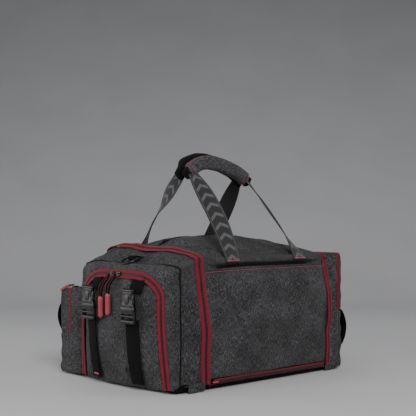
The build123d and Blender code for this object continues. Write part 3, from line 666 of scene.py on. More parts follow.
def frames_along(u, x0, x1, count, lift=0.0, crease=1.0):
    """Frames along the bag at u, from x0 to x1."""
    points = [skin(x0 + (x1 - x0) * i / (count - 1), u, lift, crease) for i in range(count)]
    return path_frames(points, lambda i, p, t: skin_out(p.x / MM, u))


def u_at(x, z, low, high):
    """Where the skin reaches height z, between u low and u high on the rising side."""
    for _ in range(24):
        middle = (low + high) / 2
        if catmull(section(x), middle)[1] < z:
            low = middle
        else:
            high = middle
    return low


def tuck(value, low, high, wide, depth):
    """How far a patch sinks into its seams at both ends of a run."""
    near = min(value - low, high - value)
    return -depth * (1 - smooth(0, wide, near))


# Main section

ZIP_X = 188.5
MAIN_LOW = -184.0
MAIN_HIGH = 187.5
MOUTH_U = 1.97
CROWN_FRONT = 4.05
CROWN_BACK = 4.12


FRONT_FOLDS = (
    # middle, height, slant, width, depth
    (-128.0, 168.0, 0.42, 7.0, 6.0),
    (-92.0, 140.0, 0.50, 8.0, 4.5),
    (-140.0, 90.0, -0.30, 9.0, 3.0),
    (-40.0, 190.0, 0.20, 13.0, 3.0),
    (30.0, 120.0, 0.35, 16.0, 3.0),
    (110.0, 175.0, -0.25, 12.0, 3.0),
    (155.0, 90.0, -0.40, 9.0, 3.5),
)


def front_cloth(looks):
    """The front's outer cloth, which is one wide pocket open along its top, with the wall behind it."""
    def place(a, b):
        x = MAIN_LOW + (MAIN_HIGH - MAIN_LOW) * a
        u = 0.14 + (MOUTH_U - 0.14) * b
        lift = tuck(x, MAIN_LOW, MAIN_HIGH, 9, 2.5)
        top = smooth(0.9, 1.0, b)
        gape = 2.5 * top * math.sin(math.pi * a)
        z = 245 * b
        drag = 0.0
        for middle, height, slant, wide, depth in FRONT_FOLDS:
            away = x - middle + (z - height) * slant
            reach = math.exp(-((z - height) / 48) ** 2)
            ridge = math.exp(-(away / wide) ** 2)
            hollow = math.exp(-((away - 1.5 * wide) / wide) ** 2)
            drag += depth * reach * (ridge - 0.9 * hollow)
        return skin(x, u, lift + gape + drag)
    piece = cloth_patch(place, 150, 90, 2.6, size=(0.36, 0.23))
    finish_piece(piece, "front_cloth", looks["cloth"], "bag", "heather_fabric", ("front_sleeve",))
    lining = cloth_patch(lambda a, b: skin(MAIN_LOW + (MAIN_HIGH - MAIN_LOW) * a, 0.14 + 1.95 * b, -11,
                                           0.4),
                         40, 30, 1.6, size=(0.36, 0.23))
    finish_piece(lining, "front_inner_wall", looks["lining"], "bag", "heather_fabric", ("front_wall",))
    hem = frames_along(MOUTH_U, MAIN_LOW + 4, MAIN_HIGH - 4, 90, 0.5)
    hem = [(p + Vector((0, -2.5 * math.sin(math.pi * i / 89) * MM, 0)), s, o) for i,
           (p, s, o) in enumerate(hem)]
    finish_piece(sweep(hem, rounded(3.2, 3.0, 1.4, 3, lift=-2.2)), "front_mouth_hem", looks["cloth"],
                 "bag", "heather_fabric")
    line = frames_along(1.915, MAIN_LOW + 6, MAIN_HIGH - 4, 120, 1.2)
    line = [(p + Vector((0, -1.6 * math.sin(math.pi * i / 119) * MM, 0)), s, o) for i,
            (p, s, o) in enumerate(line)]
    seam_stitches("front_mouth_stitches", line, looks["thread"], "bag", gap=3.6, length=3.0, thick=0.9)


def top_cloth(looks):
    """Both halves of the top: each is sewn to the shoulder and folds back from it as one cloth."""
    def place(a, b, low, high, sign):
        x = MAIN_LOW + (MAIN_HIGH - MAIN_LOW) * a
        u = low + (high - low) * b
        lift = tuck(x, MAIN_LOW, MAIN_HIGH, 9, 2.5)
        shoulder = min(abs(u - 2), abs(u - 6))
        if sign > 0:
            gape = smooth(0.03, 0.22, a) * smooth(0.03, 0.18, 1 - a)
            lift -= (13.0 * gape + 1.5) * (1 - smooth(2.05, 2.17, u)) - 1.5 * smooth(2.1, 2.4, u)
            fold = u - 2.86
            lift += tuck(u, 0, high, 0.1, 1.2)
        else:
            lift -= 1.0 * (1 - smooth(0.0, 0.10, 6.12 - u))
            fold = 5.14 - u
            lift += tuck(u, low, 9, 0.1, 1.2)
        lift -= 1.6 * math.exp(-(fold / 0.10) ** 2)
        middle = 3.5 if sign > 0 else 4.5
        sag = -3.5 * math.exp(-((x - 20) / 70) ** 2) * math.exp(-((u - middle) / 0.4) ** 2)
        return skin(x, u, lift + sag + ripple((x, u * 60, 0), 60, 3.0, 11) * smooth(0.0, 0.5, shoulder))
    front = cloth_patch(lambda a, b: place(a, b, 1.86, CROWN_FRONT, 1), 120, 70, 2.4, size=(0.36, 0.19))
    finish_piece(front, "top_cloth_front", looks["cloth"], None, "heather_fabric",
                 ("front_shoulder", "top_flap_front"))
    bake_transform(front)
    back = cloth_patch(lambda a, b: place(a, b, CROWN_BACK, 6.12, -1), 120, 70, 2.4, size=(0.36, 0.19))
    finish_piece(back, "top_cloth_back", looks["cloth"], None, "heather_fabric",
                 ("back_shoulder", "top_flap_back"))
    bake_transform(back)
    crown = (CROWN_FRONT + CROWN_BACK) / 2
    plain = dict(looks, zip=looks["webbing"])
    zip_run("top_zip", frames_along(crown, MAIN_LOW + 6, MAIN_HIGH - 6, 100, -1.4), 14, plain, "front_flap",
            slot="black_webbing", nodes=("top_zip",))
    slide = frames_along(crown, -150, 150, 2, 2.0)[0]
    plain["rubber"] = looks["webbing"]
    slider_on("top_zip_slider", slide, plain, "front_flap", pull=True)


def back_cloth(looks):
    """The back's plain wall."""
    def place(a, b):
        x = MAIN_LOW + (MAIN_HIGH - MAIN_LOW) * a
        return skin(x, 6.08 + (7.9 - 6.08) * b, tuck(x, MAIN_LOW, MAIN_HIGH, 9, 2.5))
    piece = cloth_patch(place, 100, 60, 2.6, size=(0.36, 0.23))
    finish_piece(piece, "back_cloth", looks["cloth"], "bag", "heather_fabric", ("back_wall",))


def main_zips(looks):
    """The two long zips that run right over the bag."""
    settings = bpy.context.scene.duffel
    near = frames_round(-ZIP_X, 0.06, 7.94, 260, 1.2)
    zip_run("near_main_zip", near, settings.near_zip_width / MM, looks, "bag", nodes=("near_main_zip",))
    far = frames_round(ZIP_X, 0.08, 7.92, 260, 1.0)
    zip_run("far_main_zip", far, settings.far_zip_width / MM, looks, "bag", nodes=("far_main_zip",))
    for name, x in (("near_divider", -ZIP_X), ("far_divider", ZIP_X)):
        def place(a, b, x=x):
            points = section(x)
            y0, z0 = catmull(points, 0.05 + 3.95 * a)
            y = -y0 * (1 - 2 * b)
            bulge = ripple((x, y, z0), 60, 5, 5)
            return Vector((x + bulge * 0.5, -y * 0.965, max(z0 * 0.965, FOOT_Z))) * MM
        piece = cloth_patch(place, 50, 40, 1.4, size=(0.3, 0.3))
        finish_piece(piece, name + "_cloth", looks["lining"], "bag", "heather_fabric", (name,))


def slider_on(name, frame, looks, body, pull=False, scale=1.0, nodes=()):
    """A zip slider on one frame, with a short cord pull if asked."""
    origin, side, out = frame
    run = side.cross(out) * -1
    turn = Matrix((run, side, out)).transposed().to_4x4()
    place = Matrix.Translation(origin) @ turn
    shell = bar(11 * scale, 9 * scale, 4 * scale, 1.3 * scale, 3)
    crest = bar(8 * scale, 2.4 * scale, 3 * scale, 0.9 * scale, 3)
    shell.data.transform(place @ Matrix.Translation((0, 0, 2.6 * MM)))
    crest.data.transform(place @ Matrix.Translation((0, 0, 5.2 * scale * MM)))
    piece = joined([shell, crest])
    finish_piece(piece, name, looks["plastic"], body, "black_plastic", nodes)
    if pull:
        start = origin + out * 5.5 * MM
        line = [start + run * t * 24 * MM - out * t * t * 4.5 * MM for t in [i / 14 for i in range(15)]]
        path = path_frames(line, lambda i, p, t: out)
        tab = sweep(path[4:], lambda share: rounded(7.5 - 2 * abs(share - 0.5), 3.4, 1.6, 3, lift=-1.7))
        loop = sweep(path[:6], rounded(2.4, 2.4, 1.1, 3, lift=-1.2))
        finish_piece(tab, name + "_tab", looks["rubber"], body, "black_webbing")
        finish_piece(loop, name + "_cord", looks["webbing"], body, "black_webbing")


# Near compartment

STRAP_Y = 66.0
SHELL_NEAR = -246.0
SHELL_FAR = -191.0
U_BAND = 18.0


def u_normal(y, z):
    """Straight out of the bulging end at y, z."""
    step = 2.0
    slope_y = (end_x(y + step, z) - end_x(y - step, z)) / (2 * step)
    slope_z = (end_x(y, z + step) - end_x(y, z - step)) / (2 * step)
    return Vector((-1, slope_y, slope_z)).normalized()


def u_frames(count, foot=7.0, lift=1.0):
    """Frames up and over the arch of zip in the near end."""
    flat = arch_path(u_half, u_top, foot, count)
    points = []
    for y, z in flat:
        points.append(Vector((end_x(y, z), y, z)) * MM + u_normal(y, z) * lift * MM)
    return path_frames(points, lambda i, p, t: u_normal(flat[i][0], flat[i][1]))


def near_compartment(looks):
    """A sleeve of cloth beside the long zip, then the border that turns in to the arch of zip."""
    def shell(a, b):
        x = SHELL_NEAR + (SHELL_FAR - SHELL_NEAR) * a
        u = 0.05 + 7.9 * b
        seam = min(abs(u - 1.95), abs(u - 6.05))
        pinch = 5.0 * math.exp(-(((x + 224) / 9) ** 2)) * math.exp(-((seam / 0.16) ** 2))
        lift = tuck(x, SHELL_NEAR, SHELL_FAR, 5, 2.2) - pinch
        top = smooth(2.6, 3.4, u) * (1 - smooth(4.6, 5.4, u))
        lift += top * ripple((x * 1.2, u * 70, 4), 34, 3.2, 21)
        return skin(x, u, lift)
    piece = cloth_patch(shell, 30, 220, 2.4, size=(0.047, 0.78))
    finish_piece(piece, "near_sleeve_cloth", looks["cloth"], "bag", "heather_fabric", ("near_top",))

    count = 241
    rim = even([tuple(skin(SHELL_NEAR, 0.05 + 7.9 * i / 480, -2.0)) for i in range(481)], count)
    zip_edge = [p + s * (U_BAND / 2 - 0.8) * MM - o * 0.6 * MM for p, s, o in u_frames(count)]
    def border(a, b):
        i = min(int(round(b * (count - 1))), count - 1)
        start, stop = rim[i], zip_edge[i]
        point = start.lerp(stop, 1 - a)
        share = 1 - a
        crown = 7.0 * math.sin(math.pi * share) ** 0.7 + 3.0 * math.sin(math.pi * share) * (1 - share)
        side = Vector((0, start.y, start.z - 0.12))
        side.normalize()
        out = (Vector((-1.0, 0, 0)) * (0.45 + 0.55 * share) + side * (0.75 - 0.55 * share)).normalized()
        crumple = ripple((point.x / MM, point.y / MM, point.z / MM), 30, 3.4,
                         33) * math.sin(math.pi * share)
        corner = -3.0 * math.exp(-((min(abs(b - 0.27), abs(b - 0.73)) / 0.012) ** 2)) * (1 - share)
        diagonal = 1.8 * math.sin((point.y + point.z * 1.3) / MM / 7.0) * math.sin(math.pi * share)
        z = point.z / MM
        diagonal *= max(math.exp(-((z - 100) / 30) ** 2), math.exp(-((z - 40) / 25) ** 2))
        return point + out * (crown + crumple + corner + diagonal) * MM
    piece = cloth_patch(border, 26, 240, 2.4, size=(0.04, 0.78))
    finish_piece(piece, "near_border_cloth", looks["cloth"], "bag", "heather_fabric",
                 ("near_side_front", "near_side_back"))

    edge = path_frames(rim, lambda i, p, t: Vector((-0.6, p.y * 6, (p.z - 0.12) * 4)).normalized())
    finish_piece(sweep(edge, rounded(2.6, 2.4, 1.1, 3, lift=0.6)), "near_piping", looks["piping"], "bag",
                 "heather_fabric")
    zip_run("near_u_zip", u_frames(300), U_BAND, looks, "bag", nodes=("near_u_zip",))


def near_flap(looks):
    """The bulging panel inside the arch of zip, which folds down with its straps and buckles."""
    def place(a, b):
        s = 1 - 2 * a
        top = u_top(s) - 6.0
        z = 4.0 + (top - 4.0) * b
        y = s * (u_half(z) - 6.0)
        rim = min(1 - abs(s), b * 1.6, (1 - b) * 1.4)
        sink = 3.0 * (1 - smooth(0.0, 0.07, rim))
        dent = 5.0 * math.exp(-((abs(y) - 66) / 24) ** 2) * math.exp(-((z - 218) / 14) ** 2)
        wave = ripple((0, y, z * 0.6), 48, 4.0, 41) + ripple((9, y, z), 22, 1.5, 44)
        fold = 2.5 * math.exp(-((y + 30) / 7) ** 2) * smooth(120, 200, z)
        return (Vector((end_x(y, z), y, z)) + u_normal(y, z) * (wave + fold - sink - dent)) * MM
    piece = cloth_patch(place, 110, 100, 2.4, size=(0.26, 0.23))
    finish_piece(piece, "near_panel_cloth", looks["cloth"], "near_flap", "heather_fabric", ("near_panel",))
    strap_width = bpy.context.scene.duffel.strap_width / MM
    straps = []
    patches = []
    for side in (-STRAP_Y, STRAP_Y):
        rows = []
        for i in range(60):
            z = 134.0 + 8 - (128.0) * i / 59
            lift = 3.4 + 3.0 * smooth(95, 142, z)
            rows.append(Vector((end_x(side, z), side, z)) * MM + u_normal(side, z) * lift * MM)
        path = path_frames(rows, lambda i, p, t: u_normal(p.y / MM, p.z / MM))
        straps.append(strap(path, strap_width, 1.8))
        patches.append(sweep(shifted(path[-16:], out=1.6), rounded(31, 1.5, 0.7, 2)))
        knot = bar(18 if side > 0 else 9, 3.8, 2.6, 0.9)
        if side > 0:
            knot.data.transform(spots(shifted(path, out=2.6), 1,
                                      start=124)[0] @ Matrix.Rotation(math.pi / 2, 4, "Z"))
            finish_piece(knot, "strap_foot_tack", looks["thread"], "near_flap", "crimson_zip")
        else:
            knot.data.transform(spots(shifted(path, out=3.2), 1,
                                      start=104)[0] @ Matrix.Translation((0, -25 * MM, -1.5 * MM)))
            finish_piece(knot, "strap_foot_stop", looks["plastic"], "near_flap", "black_plastic")
    finish_piece(joined(straps), "compression_webbing", looks["webbing"], "near_flap", "black_webbing",
                 ("compression_straps",))
    finish_piece(joined(patches), "webbing_feet", looks["webbing"], "near_flap", "black_webbing")
    tabs = []
    for side in (-STRAP_Y, STRAP_Y):
        rows = []
        for i in range(24):
            z = 194.0 + 30.0 * i / 23
            lift = 4.5 - 4.0 * smooth(200, 226, z)
            rows.append(Vector((end_x(side, z), side, z)) * MM + u_normal(side, z) * lift * MM)
        path = path_frames(rows, lambda i, p, t: u_normal(p.y / MM, p.z / MM))
        tabs.append(strap(path, strap_width, 1.8))
    finish_piece(joined(tabs), "buckle_tab_webbing", looks["webbing"], "near_flap", "black_webbing",
                 ("buckle_tabs",))


# Handles

FEET_X = 101.0
FEET_Z = 256.0


def turned(direction, axis, degrees):
    """A direction turned about an axis."""
    return Matrix.Rotation(math.radians(degrees), 3, axis) @ direction


def handle(looks, name, sign):
    """One handle: two runs of webbing sewn to the shoulder, and its grip."""
    full = bpy.context.scene.duffel.handle_width / MM
    runs = []
    for x, top, twists, bow in ((-FEET_X, (-92, 446), TWISTS[name][0], BOWS[name][0]),
                                (FEET_X, (76, 432), TWISTS[name][1], BOWS[name][1])):
        u = u_at(x, FEET_Z, 2.0, 3.0)
        u = u if sign < 0 else 8 - u
        down = 0.07 if sign < 0 else -0.07
        foot = [skin(x, u - down, 1.6), skin(x, u - down * 0.5, 1.6), skin(x, u, 1.8)]
        start = foot[-1]
        stop = Vector((top[0], sign * 13.0, top[1])) * MM
        count = 70
        free = []
        for i in range(1, count + 1):
            t = i / count
            lean = math.sin(math.pi * t) * (1 - 0.3 * t)
            free.append(start.lerp(stop, t) + Vector(bow) * lean * MM)
        points = even([tuple(p) for p in foot + free], 90)
        def out_at(i, p, t, twists=twists):
            base = Vector((0, sign, 0.25))
            base = (base - t * base.dot(t)).normalized()
            return turned(base, t, catmull(twists, i / 89 * (len(twists) - 1))[0])
        frames = path_frames(points, out_at)
        runs.append(strap(frames, full, 1.9, ((full,), (full,), (full,), (full - 2,), (full - 12,))))
        tack = copies(bar(2.2, 36, 1.8, 0.6), spots(shifted(frames, out=1.9), 50, start=2.4, end=150)[:1])
        finish_piece(tack, f"{name}_tack_{'near' if x < 0 else 'far'}", looks["thread"], "bag",
                     "crimson_zip")
    webbing = finish_piece(joined(runs), f"{name}_webbing_strap", looks["handle"], None, "black_webbing",
                           (f"{name}_webbing",))
    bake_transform(webbing)


TWISTS = {
    "front_handle": (((0,), (-22,), (-36,), (-30,), (0,)), ((0,), (34,), (42,), (40,), (22,))),
    "back_handle": (((0,), (38,), (44,), (84,), (95,)), ((0,), (-30,), (-48,), (-40,), (-10,))),
}
BOWS = {
    "front_handle": ((6, -7, 4), (2, -2, 2)),
    "back_handle": ((-6, 4, 3), (8, 2, 0)),
}
GRIP_LINE = ((-104, 436), (-90, 452), (-70, 462), (-45, 467), (-15, 465), (20, 457), (52, 446), (74, 433),
             (86, 424))


def grip_frames(sign, rise, low, high, count=60, depth=13.0):
    """Frames along one grip's middle, a little above the line of both by rise."""
    points = []
    for i in range(count):
        share = low + (high - low) * i / (count - 1)
        x, z = catmull(GRIP_LINE, share * (len(GRIP_LINE) - 1))
        points.append(Vector((x, sign * depth, z + rise)) * MM)
    return path_frames(points, lambda i, p, t: Vector((0, sign, 0)))


def padding(share, wide, deep, seed, slack=1.0):
    """A stuffed roll's outline at one place along it, plump in the middle and gathered at its ends."""
    ends = min(share, 1 - share)
    full = 0.62 + 0.38 * smooth(0.0, 0.10, ends)
    outline = []
    for k in range(28):
        angle = 2 * math.pi * k / 28
        c, s = math.cos(angle), math.sin(angle)
        r = (abs(c) ** 3.0 + abs(s) ** 3.0) ** (-1 / 3.0)
        lump = 1 + slack * 0.075 * noise.noise(Vector((c * 1.4, s * 1.4, share * 9 + seed)))
        lump += slack * 0.025 * math.sin(share * 60 + 4 * c) * smooth(0.12, 0.0, ends)
        outline.append((wide / 2 * c * r * full * lump, deep / 2 * s * r * full * lump))
    return outline


def grips(looks):
    """The two padded grips, gathered at their ends, and the wrap's stitching."""
    front = sweep(grip_frames(-1, -1.5, 0.03, 0.93, 90), lambda t: padding(t, 31, 22, 3.0), soft=70)
    finish_piece(front, "front_grip_pad", looks["grip"], "front_handle", "grip_fabric", ("front_grip",))
    back = sweep(grip_frames(1, 5.5, 0.05, 0.99, 90), lambda t: padding(t, 30, 21, 8.0), soft=70)
    finish_piece(back, "back_grip_pad", looks["dark_cloth"], "back_handle", "grip_fabric", ("back_grip",))
    for sign, body, name in ((-1, "front_handle", "front"), (1, "back_handle", "back")):
        for low, high, end in ((-0.02, 0.09, "near"), (0.90, 1.0, "far")):
            knot = sweep(grip_frames(sign, 0, low, high, 16, 12.0), lambda t: padding(t, 24, 17, 5.0, 2.0),
                         soft=70)
            finish_piece(knot, f"{name}_grip_gather_{end}", looks["webbing"], body, "black_webbing")
    edge = [(p - s * 15.2 * MM, s, o) for p, s, o in shifted(grip_frames(-1, -1.5, 0.08, 0.9, 80), out=4)]
    rows = []
    for share in (0.11, 0.86):
        p, s, o = grip_frames(-1, -1.5, share, share + 0.01, 2)[0]
        outline = padding(0.4, 31.6, 22.6, 3.0)
        points = [p + s * a * MM + o * b * MM for a, b in outline[25:] + outline[:17]]
        middle = Vector(p)
        rows.append(path_frames(points, lambda i, q, t, m=middle: (q - m).normalized()))
    for k, row in enumerate(rows):
        seam_stitches(f"grip_stitches_{k}", row, looks["thread"], "front_handle", gap=3.2, length=2.6,
                      thick=1.1)
    seam_stitches("grip_edge_stitches", [(p, s, -s) for p, s, o in edge], looks["thread"], "front_handle",
                  gap=4.0, length=3.2, thick=0.9)


# Pockets. Each is a box of cloth standing on a long side s, reaching out by d and up by z.

class Pocket:
    """Where one pocket's cloth runs: half its length, its top, its depth and the way s and d point."""

    def __init__(self, middle, half, top, corner, zip_d, out_d, fold, place):
        self.middle = middle
        self.half = half
        self.top = top
        self.corner = corner
        self.zip_d = zip_d
        self.out_d = out_d
        self.fold = fold
        self.place = place

    def outline(self, count, foot=6.0, wide=0.0):
        """Points s, z up one end, over the top and down the other end."""
        half = self.half + wide
        top = self.top + wide
        raw = [(-half, foot + (top - self.corner - foot) * i / 30) for i in range(31)]
        for i in range(1, 13):
            angle = math.pi * (1 - i / 26)
            raw.append((-half + self.corner + self.corner * math.cos(angle),
                        top - self.corner + self.corner * math.sin(angle)))
        raw += [(-s, z) for s, z in raw[::-1]]
        return even(raw, count)

    def point(self, s, z, d):
        """A place in metres from the pocket's own measures."""
        return self.place(s + self.middle, d, z)

    def half_at(self, z):
        """Half its length at height z, drawn in over the rounded corner."""
        over = max(z - (self.top - self.corner), 0.0) / self.corner
        return self.half - self.corner * (1 - math.sqrt(max(1 - min(over, 0.96) ** 2, 0.0)))


def end_place(s, d, z):
    """The far end's pocket: s along Y and d along X."""
    return Vector((d, s, z)) * MM


def side_place(s, d, z):
    """The back's pocket: s along X, turned round, and d along Y."""
    return Vector((-s, d, z)) * MM


END = Pocket(0.0, 157.0, 262.5, 7.0, 233.0, 248.0, 134.0, end_place)
SIDE = Pocket(41.0, 221.0, 189.0, 8.0, 190.0, 232.0, 90.0, side_place)


def pocket_gusset(pocket, name, low, looks, nodes, sag=3.0, size=(0.6, 0.04), meets=None):
    """The cloth from the bag out to the pocket's zip, over its ends and top."""
    count = 181
    path = pocket.outline(count)
    high = pocket.zip_d + 1
    def spot(a, b):
        i = int(round(a * (count - 1)))
        s, z = path[i]
        d = low + (high - low) * b
        out = Vector((s / pocket.half, 0)) if z < pocket.top - 8 else Vector((s / pocket.half * 0.2, 1))
        out.normalize()
        lift = tuck(d, low, high, 5, 2.0) + ripple((s, z, d), 34, sag, 51)
        lift += 1.6 * math.sin(math.pi * b)
        p = pocket.point(s + out.x * lift, z + out.y * lift, d)
        return meets[i].lerp(p, smooth(low + 2, low + 18, d)) if meets else p
    piece = cloth_patch(spot, count - 1, 16, 2.2, inward=pocket is not END, size=size)
    finish_piece(piece, name, looks["cloth"], "bag", "heather_fabric", nodes)


def pocket_front(pocket, name, low_z, high_z, body, looks, nodes, bulge, crumple, seed, wrap):
    """A panel across the pocket's outer side that turns round its corners as far as wrap."""
    def spot(a, b):
        span = 1 - 2 * a
        z = low_z + (high_z - low_z) * b
        half = pocket.half_at(z)
        flat = half - 9
        reach = pocket.out_d - wrap
        total = flat + 14 + reach
        along_s = abs(span) * total
        side = 1 if span > 0 else -1
        if along_s <= flat:
            s, d = along_s, pocket.out_d
        elif along_s <= flat + 14:
            angle = (along_s - flat) / 14 * math.pi / 2
            s, d = flat + 9 * math.sin(angle), pocket.out_d - 9 * (1 - math.cos(angle))
        else:
            s, d = half, pocket.out_d - 9 - (along_s - flat - 14)
        d = max(d, wrap)
        over = smooth(pocket.top - 10, pocket.top + 1, z)
        d = d - (d - wrap) * over ** 2 if d > wrap else d
        face = 1 - smooth(flat - 10, flat + 14, along_s)
        wave = ripple((s * side, z, seed), 40, crumple, seed)
        wave += ripple((s * side, z, d), 17, crumple * 0.45, seed + 3)
        fold = crumple * 0.35 * math.sin((z * 1.1 + s * 0.5 * side) / 6.5 + seed)
        calm = smooth(0.0, 0.16, b) * smooth(0.0, 0.16, 1 - b)
        wave *= calm
        fold *= calm
        d += (bulge * math.sin(math.pi * b) * (1 - (s / pocket.half) ** 2) + wave + fold) * face
        s += (wave + fold) * (1 - face) * 0.8
        s -= 2.0 * (1 - face) * (1 - smooth(0, 0.05, min(b, 1 - b)))
        return pocket.point(s * side, z, d)
    piece = cloth_patch(spot, 200, 44, 2.2, inward=pocket is not END, size=(0.4, 0.14))
    finish_piece(piece, name, looks["cloth"], body, "heather_fabric", nodes)


def pocket_zip(pocket, name, width, looks, nodes):
    """The zip round the pocket's ends and top, above its fold."""
    path = [Vector(p) for p in pocket.outline(300, foot=pocket.fold)]
    points = [pocket.point(s, z, pocket.zip_d) for s, z in path]
    tall = [pocket.point(s, z, pocket.zip_d) for s, z in pocket.outline(300, foot=pocket.fold, wide=10)]
    frames = path_frames(points, lambda i, p, t: tall[i] - points[i])
    zip_run(name, frames, width, looks, "bag", nodes=nodes)


def end_pocket(looks):
    """The flat pocket over the far end."""
    arch = even([tuple(skin(189.0, 0.05 + 7.9 * i / 480, -2.5)) for i in range(481)], 181)
    pocket_gusset(END, "end_gusset_cloth", 187.0, looks,
                  ("end_gusset_front", "end_gusset_back", "end_top"), meets=arch)
    pocket_front(END, "end_lower_cloth", 4.0, 133.0, "bag", looks, ("end_lower_panel",), 3.0, 5.0, 61,
                 196.5)
    pocket_front(END, "end_flap_cloth", 134.0, 262.5, "end_flap", looks, ("end_flap",), 2.0, 2.0, 67, 239.0)
    pocket_zip(END, "end_zip", 12, looks, ("end_pocket_zip",))
    rows = []
    for i in range(50):
        t = i / 49
        z = 52 + 80 * t
        reach = 19.0 * math.sin(math.pi * t) ** 0.7
        rows.append(Vector((249.5 + reach, -139.5, z)) * MM)
    frames = path_frames(rows, lambda i, p, t: Vector((t.z, 0, -t.x)))
    finish_piece(strap(frames, 24, 1.7), "end_loop_webbing", looks["webbing"], "bag", "black_webbing",
                 ("end_grab_loop",))


def side_pocket(looks):
    """The long pocket down the back."""
    pocket_gusset(SIDE, "side_gusset_cloth", 148.0, looks,
                  ("side_gusset_near", "side_gusset_far", "side_pocket_floor"), size=(0.8, 0.03))
    pocket_front(SIDE, "side_lower_cloth", 4.0, 89.0, "bag", looks, ("side_lower_panel",), 3.0, 4.0, 71,
                 168.0)
    pocket_front(SIDE, "side_flap_cloth", 90.0, 189.0, "side_flap", looks,
                 ("side_flap", "side_pocket_top"), 4.0, 2.4, 77, 196.0)
    pocket_zip(SIDE, "side_zip", 13, looks, ("side_pocket_zip",))
    for z in (78.0, 84.0):
        rows = [SIDE.point(221.0 + 1.4, z, d) for d in range(176, 222, 3)]
        path = path_frames(rows, lambda i, p, t: Vector((-1, 0, 0)))
        seam_stitches(f"side_stitches_{int(z)}", path, looks["thread"], "bag", gap=3.6, length=2.8,
                      thick=1.1)
    rows = []
    for i in range(40):
        t = i / 39
        rows.append(Vector((-243.5, 234.5 + 18.0 * math.sin(math.pi * t) ** 0.7, 94 + 62 * t)) * MM)
    loop = path_frames(rows, lambda i, p, t: Vector((0, t.z, -t.y)))
    finish_piece(strap(loop, 24, 1.7), "side_loop_webbing", looks["webbing"], "side_flap", "black_webbing",
                 ("side_grab_loop",))


# Base

def base(looks):
    """The dark tray of cloth under the bag, with its stitched rim, corner patches and the sleeve's zip."""
    low, high, half = -269.0, 246.0, 160.0
    def spot(a, b):
        p, q = 2 * a - 1, 2 * b - 1
        reach = max(abs(p), abs(q))
        rim = smooth(0.955, 1.0, reach)
        s = p * (1 - 0.5 * 0.06 * q * q * abs(p) ** 6)
        t = q * (1 - 0.5 * 0.05 * p * p * abs(q) ** 6)
        inside = 1 - 0.012 * (1 - rim)
        x = (low + high) / 2 + (high - low) / 2 * s * inside
        y = half * t * inside
        z = 0.4 + 16.0 * smooth(0.95, 1.0, reach) ** 1.3
        near_end = smooth(-240, -266, x)
        z -= 9.0 * near_end * smooth(0.95, 1.0, reach)
        wave = ripple((x, y, 0), 40, 1.6, 81) * rim
        return Vector((x, y + (wave if y > 0 else -wave) * abs(q) ** 8, max(z, 0.2))) * MM
    piece = cloth_patch(spot, 220, 160, 2.0, inward=False, size=(0.52, 0.32))
    finish_piece(piece, "base_tray", looks["base"], "bag", "base_fabric", ("base_panel",))
    for name, sign in (("front", -1), ("back", 1)):
        rows = [Vector((x, sign * 162.6, 11.0)) * MM for x in range(-180, 190, 6)]
        path = path_frames(rows, lambda i, p, t, sign=sign: Vector((0, sign, 0)))
        seam_stitches(f"base_stitches_{name}", path, looks["thread"], "bag", gap=6.5, length=3.2, thick=0.9)
    rows = [Vector((x, -(along(SECTIONS, x)[0] + 3.4), 19.5)) * MM for x in range(-168, 178, 6)]
    path = path_frames(rows, lambda i, p, t: Vector((0, -1, 0.2)))
    finish_piece(sweep(path, rounded(3.6, 2.6, 1.2, 3)), "sleeve_zip_tape", looks["zip"], "bag",
                 "crimson_zip", ("sleeve_zip",))
    # A near-black strip just under the sleeve zip's tape: painted shade of the gap below the tape.
    lower = [(p + Vector((0, 0.0010, -0.0042)), s, o) for p, s, o in path]
    finish_piece(sweep(lower, rounded(4.6, 2.0, 0.9, 3)), "sleeve_zip_gap_shade", looks["coil_bed"], "bag",
                 "black_webbing")
    tack = bar(16, 3.4, 2.4, 0.9)
    tack.data.transform(Matrix.Translation(Vector((-163, -165.2,
                                                   15.6)) * MM) @ Matrix.Rotation(math.pi / 2, 4, "X"))
    finish_piece(tack, "sleeve_zip_tack", looks["thread"], "bag", "crimson_zip")
    for x, y, name in ((-211.0, -160.0, "near_front"), (-211.0, 160.0, "near_back"),
                       (205.0, -158.0, "far_front"),
                       (205.0, 158.0, "far_back")):
        def corner(a, b, x=x, y=y):
            u, v = 2 * a - 1, b
            sx = x + 22 * u
            out = 3.4 - 1.6 * abs(u) ** 4
            sy = y + (out if y > 0 else -out) - (3.0 if y > 0 else -3.0) * (1 - v) ** 2
            z = 1.5 + 16.5 * v + 1.2 * math.sin(u * 3)
            wave = ripple((sx, sy, z), 9, 2.6, 91)
            return Vector((sx, sy + wave, z)) * MM
        patch = cloth_patch(corner, 24, 12, 1.6, inward=y > 0, size=(0.044, 0.017))
        finish_piece(patch, f"corner_patch_{name}", looks["cloth"], "bag", "heather_fabric")


# Fittings: buckles, rings, pulls and the sewn tabs that hold them

BUCKLE_X = -307.0


def cad(name, look, looks, bevel=0.6, segments=2):
    """A packed part that keeps its own shape, with softened edges and a real finish."""
    node = frame["nodes"][name]
    node.data.materials.clear()
    node.data.materials.append(looks[look])
    soft = node.modifiers.new("softened", "BEVEL")
    soft.width = bevel * MM
    soft.segments = segments
    soft.limit_method = "ANGLE"
    soft.angle_limit = math.radians(35)
    soft.harden_normals = True
    return node


